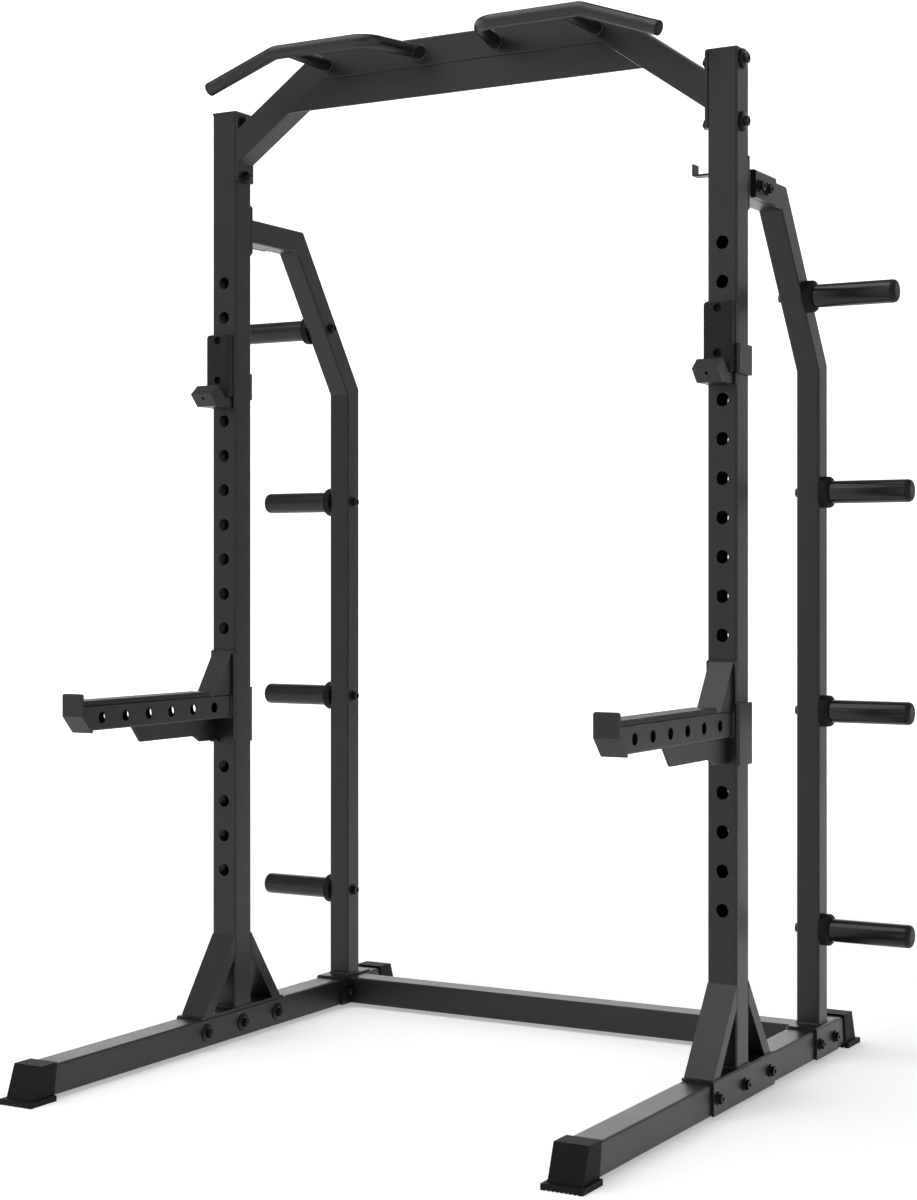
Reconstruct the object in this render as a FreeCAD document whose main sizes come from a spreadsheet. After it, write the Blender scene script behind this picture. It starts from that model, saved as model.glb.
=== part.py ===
"""Free-standing half rack with a pull-up beam, plate storage pegs, J-hooks and safety arms.

Frame: X across the rack (0 on its middle plane), Y from front to back (0 halfway between
the feet), Z up from the floor.  Millimetres.  The right-hand pieces (+X) are drawn and the
left-hand ones are their mirror images.
"""
import FreeCAD, Part
import math
import os
import re
import Sketcher

Vector = FreeCAD.Vector
doc = FreeCAD.newDocument("half_rack")

# ---------------------------------------------------------------- driving sizes
SIZES = [
    ("upright_spacing", 1162, "between the centre lines of the two uprights"),
    ("upright_size", 60, "square tube of uprights, rails, beam and crossmember"),
    ("upright_wall", 3, "wall of the 60 mm tube"),
    ("tube_corner", 4, "outside corner radius of the tubes"),
    ("upright_top", 2015, "top of the uprights"),
    ("first_hole", 1647, "height of the top adjustment hole"),
    ("hole_pitch", 75, "between adjustment holes"),
    ("hole_count", 18, "adjustment holes in each upright"),
    ("hole_radius", 13, "adjustment hole"),
    ("rail_lift", 9, "rail underside above the floor"),
    ("rail_half", 642, "half the length of a base rail"),
    ("foot_end", 682, "outer end of a foot from the middle"),
    ("foot_heel", 606, "inner end of a foot on the floor"),
    ("foot_face", 668, "bottom of a foot's sloping front face"),
    ("foot_crown_out", 645, "outer edge of a foot's top face"),
    ("foot_crown_in", 597, "inner edge of a foot's top face"),
    ("foot_flange", 11, "height of the wide base of a foot"),
    ("foot_width", 78, "width of the base of a foot"),
    ("foot_skin", 3, "rubber wall round the rail"),
    ("foot_round", 4, "rounded edges of a foot"),
    ("foot_groove", 2, "depth of the tread grooves"),
    ("groove_pitch", 8, "between the tread grooves"),
    ("plate_wall", 5, "sheet of the welded brackets"),
    ("bracket_half", 154, "half the length of the upright bracket"),
    ("bracket_bolt_gap", 132, "between neighbouring upright bracket bolts"),
    ("brace_run", 143, "outer foot of a brace from the upright's centre"),
    ("brace_rise", 158, "outer top of a brace above its bracket"),
    ("brace_depth", 25, "thickness of a brace tube"),
    ("brace_wall", 2.5, "wall of a brace tube"),
    ("post_size", 50, "square tube of the rear posts and arms"),
    ("post_wall", 2.5, "wall of the 50 mm tube"),
    ("post_offset", 459, "rear post centre behind the upright centre"),
    ("post_kink", 1446, "height where the rear post leans forward"),
    ("post_lean", 35, "lean of the rear post, degrees"),
    ("post_top", 1793.5, "top face of the horizontal top member"),
    ("post_flange_height", 116, "flange that joins the top member to the upright"),
    ("flange_wall", 6, "sheet of that flange and of the beam end plates"),
    ("flange_chamfer", 8, "cut corners of the flange"),
    ("rear_bracket_half", 65, "half the length of a rear post bracket"),
    ("rear_bolt_half", 44, "rear bracket bolts from its centre"),
    ("clamp_start", 30, "clamp bracket behind the upright"),
    ("clamp_length", 108, "length of the clamp bracket"),
    ("clamp_wall", 8, "side plate of the clamp bracket"),
    ("clamp_fold", 20, "folded edge of the clamp bracket over the top member"),
    ("clamp_bolt_first", 20, "first clamp bolt from the bracket's end"),
    ("clamp_bolt_gap", 42, "between the clamp bolts"),
    ("beam_top", 2120, "top face of the pull-up beam"),
    ("beam_half", 327, "half the underside length of the beam's level tube"),
    ("leg_angle", 35, "slope of the beam's legs, degrees"),
    ("top_tab", 4, "tab of the end plate over the upright"),
    ("end_plate_drop", 151, "height of the beam end plate"),
    ("beam_bolt_top", 19, "upper beam bolt below the top of the end plate"),
    ("beam_bolt_gap", 120, "between the two beam bolts"),
    ("panel_height", 61, "height of the front panel under the beam"),
    ("panel_sheet", 4, "thickness of the front panel"),
    ("panel_gap", 0.2, "gap round the front panel"),
    ("handle_radius", 14.5, "pull-up handle tube"),
    ("handle_wall", 2.5, "wall of the handle tube"),
    ("handle_root", 88, "handle start from the middle"),
    ("handle_knee", 128, "first bend from the middle"),
    ("handle_elbow", 350, "second bend from the middle"),
    ("handle_tip", 512, "handle end from the middle"),
    ("handle_reach", 145, "handle in front of the beam"),
    ("handle_fall", 57, "handle end below its level part"),
    ("handle_bend", 48, "centre line radius of the handle bends"),
    ("handle_cap_length", 5, "end cap of a handle"),
    ("stub_offset", 315, "support stub from the middle"),
    ("stub_radius", 13.5, "support stub"),
    ("peg_radius", 24, "storage peg, for plates with a 50 mm bore"),
    ("peg_wall", 3, "wall of a storage peg"),
    ("peg_length", 182, "storage peg without its cap"),
    ("peg_base", 12, "threaded plug welded in the peg's root"),
    ("peg_first", 270, "height of the lowest peg"),
    ("peg_pitch", 458, "between the pegs on the upright part of a post"),
    ("peg_high", 1585, "height of the peg on the leaning part"),
    ("peg_cap", 10, "domed peg cap"),
    ("peg_cap_inset", 0.5, "cap smaller than the peg, in radius"),
    ("peg_plug", 14, "plug of the cap inside the peg"),
    ("collar_radius", 33, "rubber stop collar"),
    ("collar_length", 20, "length of the collar"),
    ("collar_round", 7, "rounding of the collar"),
    ("collar_seat", 0.5, "seat of the collar turned into the peg, in radius"),
    ("bolt_radius", 6, "M12 shank"),
    ("bolt_clearance", 0.5, "bolt hole larger than the shank, in radius"),
    ("bolt_head_radius", 10.4, "hexagon across corners, in radius"),
    ("bolt_head", 7.5, "height of the bolt head"),
    ("nut_height", 10, "height of the nut"),
    ("washer_radius", 13, "washer"),
    ("washer_sheet", 2.5, "washer thickness"),
    ("disc_radius", 19, "large washer of the beam and rail bolts"),
    ("disc_sheet", 5, "thickness of the large washer"),
    ("hanger_height", 1783, "accessory hanger above the floor"),
    ("hanger_reach", 40, "accessory hanger from the upright"),
    ("hanger_width", 24, "width of the hanger strip"),
    ("hanger_sheet", 4, "thickness of the hanger strip"),
    ("hanger_lip", 22, "upturned lip of the hanger"),
    ("hanger_base", 30, "height of the hanger's base plate"),
    ("hook_hole", 3, "adjustment hole that carries a J-hook, from the top"),
    ("arm_hole", 12, "adjustment hole that carries a safety arm, from the top"),
    ("slide_gap", 0.5, "play between an attachment and the upright"),
    ("pin_radius", 12.5, "locking pin"),
    ("pin_length", 66, "locking pin behind its plate"),
    ("pin_chamfer", 3, "lead-in of the pin"),
    ("hook_wall", 5, "front plate of a J-hook"),
    ("wrap_wall", 6, "side and back plates that wrap the upright"),
    ("wrap_margin", 2, "back plate short of the upright's inner face"),
    ("hook_width", 60, "width of a J-hook's front plate"),
    ("cradle_width", 52, "width of its cradle"),
    ("pad_inset", 1, "pad narrower than the front plate, on each side"),
    ("hook_above", 36, "top of the J-hook above its pin"),
    ("hook_below", 122, "underside of the J-hook below its pin"),
    ("hook_round", 8, "rounded top corners of the J-hook"),
    ("hook_nose", 86, "nose of the J-hook in front of the upright"),
    ("nose_rise", 25, "nose ridge above the hook's underside"),
    ("lip_reach", 62, "outer edge of the hook's lip"),
    ("lip_rise", 45, "lip above the hook's underside"),
    ("lip_width", 4, "flat top of the lip"),
    ("cradle_rise", 21, "cradle floor above the hook's underside"),
    ("cradle_reach", 32, "front end of the cradle floor"),
    ("nose_hole", 3, "small blind hole in the hook's nose"),
    ("nose_hole_rise", 16, "that hole above the hook's underside"),
    ("hook_wrap_low", 101, "wrap of the J-hook, low edge below the pin"),
    ("hook_wrap_high", 44, "wrap of the J-hook, high edge below the pin"),
    ("pad_sheet", 19, "plastic pad of the J-hook"),
    ("pad_round", 3, "front edge rounding of the pad"),
    ("pad_screw_top", 23, "upper pad screw above the pin"),
    ("pad_screw_low", 63, "lower pad screw below the pin"),
    ("screw_head", 8, "pad screw head radius"),
    ("screw_shank", 4, "pad screw shank radius"),
    ("screw_sink", 8, "depth of the screw's counterbore"),
    ("screw_head_height", 3, "height of the pad screw's head"),
    ("arm_drop", 93, "arm tube centre below the pin"),
    ("arm_length", 512, "safety arm in front of the upright"),
    ("arm_plate", 6, "front plate of a safety arm"),
    ("arm_plate_high", 28, "top of the arm's front plate above the pin"),
    ("arm_plate_low", 165, "bottom of the arm's front plate below the pin"),
    ("arm_wrap_high", 54, "wrap of the arm, high edge below the pin"),
    ("arm_wrap_low", 172, "wrap of the arm, low edge below the pin"),
    ("arm_hole_first", 70, "first cross hole in front of the upright"),
    ("arm_hole_pitch", 76, "between the cross holes"),
    ("arm_hole_count", 6, "cross holes in the arm"),
    ("arm_hole_radius", 11.25, "cross hole"),
    ("arm_pad_sheet", 10, "pad on top of the arm"),
    ("arm_pad_end", 87, "rear end of that pad in front of the upright"),
    ("gusset_run", 68, "front foot of the upper gusset"),
    ("gusset_rise", 92, "height of the upper gusset over the tube"),
    ("gusset_wall", 4, "sheet of the folded gussets"),
    ("keel_sheet", 5, "plate under the arm tube"),
    ("keel_shift", 14, "keel plate outboard of the tube's middle"),
    ("keel_front", 310, "front end of the keel, top edge"),
    ("keel_cut", 31, "slant of the keel's front end"),
    ("keel_depth", 36, "keel below the tube"),
    ("keel_step", 95, "start of its deeper root, in front of the upright"),
    ("keel_slope", 23, "slant down to the deeper root"),
    ("keel_root", 49, "keel below the tube at its root"),
    ("stop_rise", 24, "stop plate above the arm tube"),
    ("stop_flat", 45, "upright part of the stop plate"),
    ("stop_run", 31, "slanted part of the stop plate, along the arm"),
    ("stop_fall", 34, "slanted part of the stop plate, downwards"),
    ("stop_sheet", 5, "thickness of the stop plate"),
]

# Lengths worked out from the driving sizes, as formulas in their names.
FORMULAS = {
    "upright_x": "upright_spacing / 2",
    "inner_x": "upright_x - upright_size / 2",
    "outer_x": "upright_x + upright_size / 2",
    "upright_y": "upright_size / 2",
    "rail_mid": "rail_lift + upright_size / 2",
    "rail_top": "rail_lift + upright_size",
    "deck": "rail_top + plate_wall",
    "skin_x": "outer_x + plate_wall",
    "post_y": "upright_y + post_offset",
    "post_in": "upright_x - post_size / 2",
    "post_out": "upright_x + post_size / 2",
    "top_z": "post_top - post_size / 2",
    "top_y": "post_y - (top_z - post_kink) * tan(post_lean)",
    "top_lean": "post_lean / 2 + 45",
    "high_peg_y": "post_y - (peg_high - post_kink) * tan(post_lean)",
    "clamp_y": "upright_size + clamp_start",
    "clamp_bolt_y": "clamp_y + clamp_bolt_first",
    "beam_mid": "beam_top - upright_size / 2",
    "beam_low": "beam_top - upright_size",
    "bend_x": "beam_half + upright_size / 2 * tan(leg_angle / 2)",
    "plate_top": "upright_top + top_tab",
    "plate_in": "inner_x - flange_wall",
    "upper_bolt": "plate_top - beam_bolt_top",
    "lower_bolt": "upper_bolt - beam_bolt_gap",
    "bolt_hole": "bolt_radius + bolt_clearance",
    "hook_z": "first_hole - (hook_hole - 1) * hole_pitch",
    "arm_z": "first_hole - (arm_hole - 1) * hole_pitch",
    "hook_low": "hook_z - hook_below",
    "pad_bottom": "hook_low + cradle_rise",
    "pad_front": "slide_gap + hook_wall + pad_sheet",
    "tube_mid": "arm_z - arm_drop",
    "tube_low": "tube_mid - post_size / 2",
    "tube_high": "tube_mid + post_size / 2",
    "arm_face": "slide_gap + arm_plate",
    "stop_high": "tube_high + stop_rise",
    "stop_bend": "stop_high - stop_flat",
    "stop_slope": "atan(stop_run / stop_fall)",
    "stop_bend_in": "stop_bend + stop_sheet * tan(stop_slope / 2)",
}

sheet = doc.addObject("Spreadsheet::Sheet", "sizes")
for row, (alias, number, meaning) in enumerate(SIZES, start=1):
    sheet.set(f"A{row}", meaning)
    sheet.set(f"B{row}", str(number))
    sheet.setAlias(f"B{row}", alias)
doc.recompute()

ALIASES = {alias for alias, _, _ in SIZES}
WORD = re.compile(r"[a-z_]+[a-z0-9_]*")


def formula(text):
    """The text as a document expression: names become formulas or cells of the sheet."""
    def swap(match):
        word = match.group(0)
        if word in FORMULAS:
            return f"({formula(FORMULAS[word])})"
        return f"sizes.{word}" if word in ALIASES else word
    return WORD.sub(swap, str(text))


def value(text):
    """The number that a formula gives now."""
    number = sheet.evalExpression(formula(text))
    return float(getattr(number, "Value", number))


# ---------------------------------------------------------------- sketches and features
def new_body(label):
    """An empty body, named after its sub-part."""
    body = doc.addObject("PartDesign::Body", label)
    body.Label = label
    body.AllowCompound = True
    return body


def put_value(sketch, kind, item, point, text):
    """Constrain one point's coordinate, or a radius, to a formula."""
    if point:
        index = sketch.addConstraint(Sketcher.Constraint(kind, item, point, value(text)))
    else:
        index = sketch.addConstraint(Sketcher.Constraint(kind, item, value(text)))
    sketch.setExpression(f"Constraints[{index}]", formula(text))


def draw_polygon(sketch, corners):
    """A closed polygon whose corners are pairs of formulas."""
    first = sketch.GeometryCount
    points = [Vector(value(u), value(v), 0) for u, v in corners]
    for here, there in zip(points, points[1:] + points[:1]):
        sketch.addGeometry(Part.LineSegment(here, there), False)
    for step, (u, v) in enumerate(corners):
        line = first + step
        following = first + (step + 1) % len(corners)
        sketch.addConstraint(Sketcher.Constraint("Coincident", line, 2, following, 1))
        put_value(sketch, "DistanceX", line, 1, u)
        put_value(sketch, "DistanceY", line, 1, v)


def draw_circle(sketch, u, v, radius):
    """A circle whose centre and radius are formulas."""
    circle = Part.Circle(Vector(value(u), value(v), 0), Vector(0, 0, 1), value(radius))
    item = sketch.addGeometry(circle, False)
    put_value(sketch, "DistanceX", item, 3, u)
    put_value(sketch, "DistanceY", item, 3, v)
    put_value(sketch, "Radius", item, 0, radius)


def draw_round_box(sketch, u, v, width, height, radius):
    """A rectangle with rounded corners: four arcs joined by four tangent lines."""
    first = sketch.GeometryCount
    corner_radius = value(radius)
    quarter = math.pi / 2
    centres = []
    for turn, (side, rise) in enumerate([(1, 1), (-1, 1), (-1, -1), (1, -1)]):
        centre_u = f"{u} + {side} * (({width}) / 2 - ({radius}))"
        centre_v = f"{v} + {rise} * (({height}) / 2 - ({radius}))"
        centres.append((centre_u, centre_v))
        centre = Vector(value(centre_u), value(centre_v), 0)
        circle = Part.Circle(centre, Vector(0, 0, 1), corner_radius)
        arc = Part.ArcOfCircle(circle, turn * quarter, (turn + 1) * quarter)
        sketch.addGeometry(arc, False)
    for turn in range(4):
        start = sketch.Geometry[first + turn].EndPoint
        end = sketch.Geometry[first + (turn + 1) % 4].StartPoint
        sketch.addGeometry(Part.LineSegment(start, end), False)
    for turn in range(4):
        arc = first + turn
        line = first + 4 + turn
        following = first + (turn + 1) % 4
        sketch.addConstraint(Sketcher.Constraint("Tangent", arc, 2, line, 1))
        sketch.addConstraint(Sketcher.Constraint("Tangent", line, 2, following, 1))
        put_value(sketch, "DistanceX", arc, 3, centres[turn][0])
        put_value(sketch, "DistanceY", arc, 3, centres[turn][1])
        put_value(sketch, "Radius", arc, 0, radius)


def new_sketch(body, role, offset, shapes, base=("0", "0"), tilt=None):
    """A sketch on one of the body's planes, moved along its normal and tilted if asked.

    shapes is a list of ("polygon", corners), ("circle", u, v, r) or
    ("box", u, v, width, height, radius).
    """
    sketch = body.newObject("Sketcher::SketchObject", f"{body.Name}_sketch")
    plane = next(item for item in body.Origin.OriginFeatures if item.Role == role)
    sketch.AttachmentSupport = (plane, [""])
    sketch.MapMode = "FlatFace"
    sketch.setExpression("AttachmentOffset.Base.x", formula(base[0]))
    sketch.setExpression("AttachmentOffset.Base.y", formula(base[1]))
    sketch.setExpression("AttachmentOffset.Base.z", formula(offset))
    if tilt:
        turned = FreeCAD.Rotation(Vector(1, 0, 0), value(tilt))
        sketch.AttachmentOffset = FreeCAD.Placement(sketch.AttachmentOffset.Base, turned)
        sketch.setExpression("AttachmentOffset.Rotation.Angle", formula(tilt))
    draw = {"polygon": draw_polygon, "circle": draw_circle, "box": draw_round_box}
    for kind, *numbers in shapes:
        draw[kind](sketch, *numbers)
    sketch.Visibility = False
    return sketch


def rebuilt(feature):
    """Recompute after adding the feature, and stop if it failed."""
    doc.recompute()
    if "Invalid" in feature.State or feature.Shape.isNull():
        raise RuntimeError(f"{feature.Name} failed: {feature.getStatusString()}")
    return feature


def extrude(body, kind, sketch, length, both, backwards):
    """A Pad or Pocket of a sketch by a formula's length."""
    feature = body.newObject(f"PartDesign::{kind}", f"{body.Name}_{kind.lower()}")
    feature.Profile = sketch
    feature.setExpression("Length", formula(length))
    if both:
        feature.SideType = "Symmetric"
    feature.Reversed = backwards
    return rebuilt(feature)


def pad(body, role, offset, shapes, length, both=False, backwards=False, base=("0", "0"), tilt=None):
    """Add material: the shapes, padded from the plane at offset."""
    sketch = new_sketch(body, role, offset, shapes, base, tilt)
    return extrude(body, "Pad", sketch, length, both, backwards)


def pocket(body, role, offset, shapes, length, base=("0", "0"), tilt=None):
    """Take material away, half the length to each side of the plane at offset."""
    before = body.Shape.Volume
    sketch = new_sketch(body, role, offset, shapes, base, tilt)
    feature = extrude(body, "Pocket", sketch, length, True, False)
    if body.Shape.Volume > before - 1:
        raise RuntimeError(f"a pocket in {body.Label} cuts nothing")
    return feature


def round_edges(body, radius, wanted):
    """Fillet the edges of the body for which wanted(edge) is true."""
    tip = body.Tip
    names = [f"Edge{n}" for n, edge in enumerate(tip.Shape.Edges, start=1) if wanted(edge)]
    if not names:
        raise RuntimeError(f"no edge of {body.Label} to round")
    feature = body.newObject("PartDesign::Fillet", f"{body.Name}_fillet")
    feature.Base = (tip, names)
    feature.setExpression("Radius", formula(radius))
    return rebuilt(feature)


def at(edge, **places):
    """True if the edge's middle lies at the given formulas on the named axes."""
    middle = edge.CenterOfMass
    return all(abs(getattr(middle, axis) - value(text)) < 0.05 for axis, text in places.items())


def along(edge, axis):
    """True if a straight edge runs along the axis."""
    if edge.Curve.TypeId != "Part::GeomLine":
        return False
    return abs(getattr(edge.Curve.Direction, axis)) > 0.999


def mirror(source, label, axis="x"):
    """The mirror image of a sub-part across the plane through the origin."""
    image = doc.addObject("Part::Mirroring", label)
    image.Label = label
    image.Source = source
    image.Base = Vector(0, 0, 0)
    image.Normal = Vector(1, 0, 0) if axis == "x" else Vector(0, 1, 0)
    return image


def gather(label, pieces):
    """Separate solids that share one node."""
    group = doc.addObject("Part::Compound", label)
    group.Label = label
    group.Links = pieces
    return group


NODES = []


def keep(*objects):
    """Note the finished sub-parts, in order."""
    NODES.extend(objects)


def keep_pair(right):
    """Keep a right-hand sub-part and its left-hand image, under matching names."""
    left = mirror(right, right.Label.replace("_right", "_left"))
    keep(right, left)
    return left


def mitre(u, v, slope, reach, side):
    """A square on one side of a mitre line through (u, v) at the slope, as four corners."""
    along_u = f"({reach}) * cos({slope})"
    along_v = f"({reach}) * sin({slope})"
    over_u = f"{side} * ({reach}) * sin({slope})"
    over_v = f"{side} * ({reach}) * cos({slope})"
    return [
        (f"{u} - {along_u}", f"{v} - {along_v}"),
        (f"{u} + {along_u}", f"{v} + {along_v}"),
        (f"{u} + {along_u} - {over_u}", f"{v} + {along_v} + {over_v}"),
        (f"{u} - {along_u} - {over_u}", f"{v} - {along_v} + {over_v}"),
    ]


def square_ring(u, v, size, wall):
    """The section of a square tube with rounded corners."""
    hollow = f"{size} - 2 * {wall}"
    return [("box", u, v, size, size, "tube_corner"), ("box", u, v, hollow, hollow, f"tube_corner - {wall}")]


# ---------------------------------------------------------------- base rails and feet
UPRIGHT_BOLTS = [f"upright_y + {step} * bracket_bolt_gap" for step in (-1, 0, 1)]
REAR_BOLTS = [f"post_y + {step} * rear_bolt_half" for step in (-1, 1)]


def bolt_circles(places, height):
    """Bolt holes seen along X, at the given depths and one height."""
    return [("circle", depth, height, "bolt_hole") for depth in places]


def base_rail():
    """Square rail along the floor, closed by the feet, drilled for both brackets."""
    body = new_body("base_rail_right")
    ring = square_ring("upright_x", "rail_mid", "upright_size", "upright_wall")
    pad(body, "XZ_Plane", "0", ring, "2 * rail_half", both=True)
    holes = bolt_circles(UPRIGHT_BOLTS + REAR_BOLTS, "rail_mid")
    pocket(body, "YZ_Plane", "upright_x", holes, "upright_size + 2")
    return body


def foot_front():
    """Rubber boot: a wide flange on the floor and a tapered cap round the rail's end."""
    body = new_body("foot_front_right")
    sole = [
        ("-foot_end", "0"), ("-foot_heel", "0"),
        ("-foot_heel", "foot_flange"), ("-foot_end", "foot_flange"),
    ]
    pad(body, "YZ_Plane", "upright_x", [("polygon", sole)], "foot_width", both=True)
    crown = [
        ("-foot_face", "foot_flange - 1"), ("-foot_heel", "foot_flange - 1"),
        ("-foot_crown_in", "rail_top + foot_round"), ("-foot_crown_out", "rail_top + foot_round"),
    ]
    pad(body, "YZ_Plane", "upright_x", [("polygon", crown)], "upright_size + 2 * foot_skin", both=True)
    top = "rail_top + foot_round"
    round_edges(body, "foot_round - 1", lambda edge: along(edge, "x") and (
        at(edge, y="-foot_crown_out", z=top) or at(edge, y="-foot_end", z="foot_flange")))
    opening = [
        ("-rail_half", "rail_lift"), ("-foot_heel + 20", "rail_lift"),
        ("-foot_heel + 20", "rail_top"), ("-rail_half", "rail_top"),
    ]
    pocket(body, "YZ_Plane", "upright_x", [("polygon", opening)], "upright_size")
    grooves = [("circle", f"upright_x + {2 * step - 7} * groove_pitch / 2", "0", "foot_groove") for step in range(8)]
    pocket(body, "XZ_Plane", "(foot_end + foot_heel) / 2", grooves, "foot_end - foot_heel + 2")
    return body


rail_right = base_rail()
keep_pair(rail_right)
front_right = foot_front()
front_left = keep_pair(front_right)
keep(mirror(front_right, "foot_rear_right", "y"))
keep(mirror(front_left, "foot_rear_left", "y"))


# ---------------------------------------------------------------- uprights
def upright():
    """Square upright with a row of adjustment holes through its front and back."""
    body = new_body("upright_right")
    ring = square_ring("upright_x", "upright_y", "upright_size", "upright_wall")
    pad(body, "XY_Plane", "deck", ring, "upright_top - deck")
    top_hole = [("circle", "upright_x", "first_hole", "hole_radius")]
    hole = pocket(body, "XZ_Plane", "-upright_y", top_hole, "upright_size + 2")
    row = body.newObject("PartDesign::LinearPattern", "upright_holes")
    row.Originals = [hole]
    axis = next(item for item in body.Origin.OriginFeatures if item.Role == "Z_Axis")
    row.Direction = (axis, [""])
    row.Reversed = True
    row.setExpression("Length", formula("hole_pitch * (hole_count - 1)"))
    row.setExpression("Occurrences", formula("hole_count"))
    body.Tip = row
    doc.recompute()
    beam_holes = bolt_circles(["upright_y"], "upper_bolt") + bolt_circles(["upright_y"], "lower_bolt")
    pocket(body, "YZ_Plane", "upright_x", beam_holes, "upright_size + 2")
    return body


def bent_bracket(label, middle, half, bolts):
    """Bent plate over a rail: a deck on top and a bolted cheek outside."""
    body = new_body(label)
    outline = [
        ("inner_x", "rail_top"), ("inner_x", "deck"), ("skin_x", "deck"),
        ("skin_x", "rail_lift"), ("outer_x", "rail_lift"), ("outer_x", "rail_top"),
    ]
    pad(body, "XZ_Plane", f"-({middle})", [("polygon", outline)], f"2 * {half}", both=True)
    round_edges(body, "plate_wall", lambda edge: along(edge, "y") and at(edge, x="skin_x", z="deck"))
    pocket(body, "YZ_Plane", "outer_x", bolt_circles(bolts, "rail_mid"), "4 * plate_wall")
    return body


def upright_braces():
    """Two flat tubes that prop the upright from its bracket, one in front, one behind."""
    body = new_body("upright_braces_right")
    slope = "atan((brace_run - upright_size / 2) / brace_rise)"
    foot_in = f"brace_run - brace_depth / cos({slope})"
    head_in = f"deck + brace_rise - brace_depth / sin({slope})"
    for side in (-1, 1):
        outline = [
            (f"upright_y + {side} * brace_run", "deck"),
            (f"upright_y + {side} * ({foot_in})", "deck"),
            (f"upright_y + {side} * upright_size / 2", head_in),
            (f"upright_y + {side} * upright_size / 2", "deck + brace_rise"),
        ]
        pad(body, "YZ_Plane", "upright_x", [("polygon", outline)], "upright_size", both=True)
        skin_u = f"brace_wall / cos({slope})"
        skin_v = f"brace_wall / sin({slope})"
        # The hollow is the same strip, one wall smaller and run on past both ends.
        run = f"(brace_run - upright_size / 2)"
        hollow = [
            (f"upright_y + {side} * (brace_run - {skin_u} + {run})", "deck - brace_rise"),
            (f"upright_y + {side} * ({foot_in} + {skin_u} + {run})", "deck - brace_rise"),
            (f"upright_y + {side} * (upright_size / 2 - {run})", f"{head_in} + {skin_v} + brace_rise"),
            (f"upright_y + {side} * (upright_size / 2 - {run})", f"deck + 2 * brace_rise - {skin_v}"),
        ]
        pocket(body, "YZ_Plane", "upright_x", [("polygon", hollow)], "upright_size - 2 * brace_wall")
    return body


upright_right = upright()
keep_pair(upright_right)
keep_pair(bent_bracket("upright_bracket_right", "upright_y", "bracket_half", UPRIGHT_BOLTS))
braces_right = upright_braces()
keep(gather("upright_braces", [braces_right, mirror(braces_right, "upright_braces_image")]))


# ---------------------------------------------------------------- rear posts
LOW_PEGS = [f"peg_first + {step} * peg_pitch" for step in (0, 1, 2)]


def rear_post():
    """Vertical part of the rear post, mitred where it leans forward."""
    body = new_body("rear_post_right")
    ring = square_ring("upright_x", "post_y", "post_size", "post_wall")
    pad(body, "XY_Plane", "deck", ring, "post_kink + post_size - deck")
    above = mitre("post_y", "post_kink", "post_lean / 2", "2 * post_size", 1)
    pocket(body, "YZ_Plane", "upright_x", [("polygon", above)], "2 * post_size")
    holes = [("circle", "post_y", height, "bolt_hole") for height in LOW_PEGS]
    pocket(body, "YZ_Plane", "upright_x", holes, "post_size + 2")
    return body


def rear_slant():
    """Leaning part of the rear post, mitred at both ends."""
    body = new_body("rear_slant_right")
    ring = square_ring("0", "0", "post_size", "post_wall")
    run = "(top_z - post_kink) / cos(post_lean)"
    start = ("upright_x", "post_y + post_size * sin(post_lean)")
    pad(body, "XY_Plane", "post_kink - post_size * cos(post_lean)", ring,
        f"{run} + 2 * post_size", base=start, tilt="post_lean")
    below = mitre("post_y", "post_kink", "post_lean / 2", "2 * post_size", -1)
    pocket(body, "YZ_Plane", "upright_x", [("polygon", below)], "2 * post_size")
    above = mitre("top_y", "top_z", "top_lean", "2 * post_size", 1)
    pocket(body, "YZ_Plane", "upright_x", [("polygon", above)], "2 * post_size")
    hole = [("circle", "high_peg_y", "peg_high", "bolt_hole")]
    pocket(body, "YZ_Plane", "upright_x", hole, "post_size + 2")
    return body


def rear_top():
    """Level top member, mitred to the leaning part, and its flange against the upright."""
    body = new_body("rear_top_tube")
    ring = square_ring("upright_x", "top_z", "post_size", "post_wall")
    start = "upright_size + flange_wall"
    pad(body, "XZ_Plane", f"-({start})", ring, f"top_y + post_size - ({start})", backwards=True)
    beyond = mitre("top_y", "top_z", "top_lean", "2 * post_size", -1)
    pocket(body, "YZ_Plane", "upright_x", [("polygon", beyond)], "2 * post_size")
    holes = bolt_circles(["clamp_bolt_y", "clamp_bolt_y + clamp_bolt_gap"], "top_z")
    pocket(body, "YZ_Plane", "post_out", holes, "4 * post_wall")

    flange = new_body("rear_top_flange")
    low = "top_z - post_flange_height / 2"
    high = "top_z + post_flange_height / 2"
    left = "inner_x"
    right = "outer_x"
    cut = "flange_chamfer"
    outline = [
        (f"{left} + {cut}", low), (f"{right} - {cut}", low), (right, f"{low} + {cut}"),
        (right, f"{high} - {cut}"), (f"{right} - {cut}", high), (f"{left} + {cut}", high),
        (left, f"{high} - {cut}"), (left, f"{low} + {cut}"),
    ]
    pad(flange, "XZ_Plane", "-upright_size", [("polygon", outline)], "flange_wall", backwards=True)
    return gather("rear_top_right", [body, flange])


def top_clamp():
    """Angle bracket bolted on the outer side of the top member."""
    body = new_body("top_clamp_right")
    high = "post_top + plate_wall"
    edge_x = "post_out + clamp_wall"
    outline = [
        ("post_out - clamp_fold", "post_top"), ("post_out - clamp_fold", high), (edge_x, high),
        (edge_x, "post_top - post_size"), ("post_out", "post_top - post_size"), ("post_out", "post_top"),
    ]
    pad(body, "XZ_Plane", "-clamp_y", [("polygon", outline)], "clamp_length", backwards=True)
    round_edges(body, "plate_wall", lambda edge: along(edge, "y") and at(edge, x=edge_x, z=high))
    holes = bolt_circles(["clamp_bolt_y", "clamp_bolt_y + clamp_bolt_gap"], "top_z")
    pocket(body, "YZ_Plane", "post_out", holes, "3 * clamp_wall")
    return body


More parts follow.
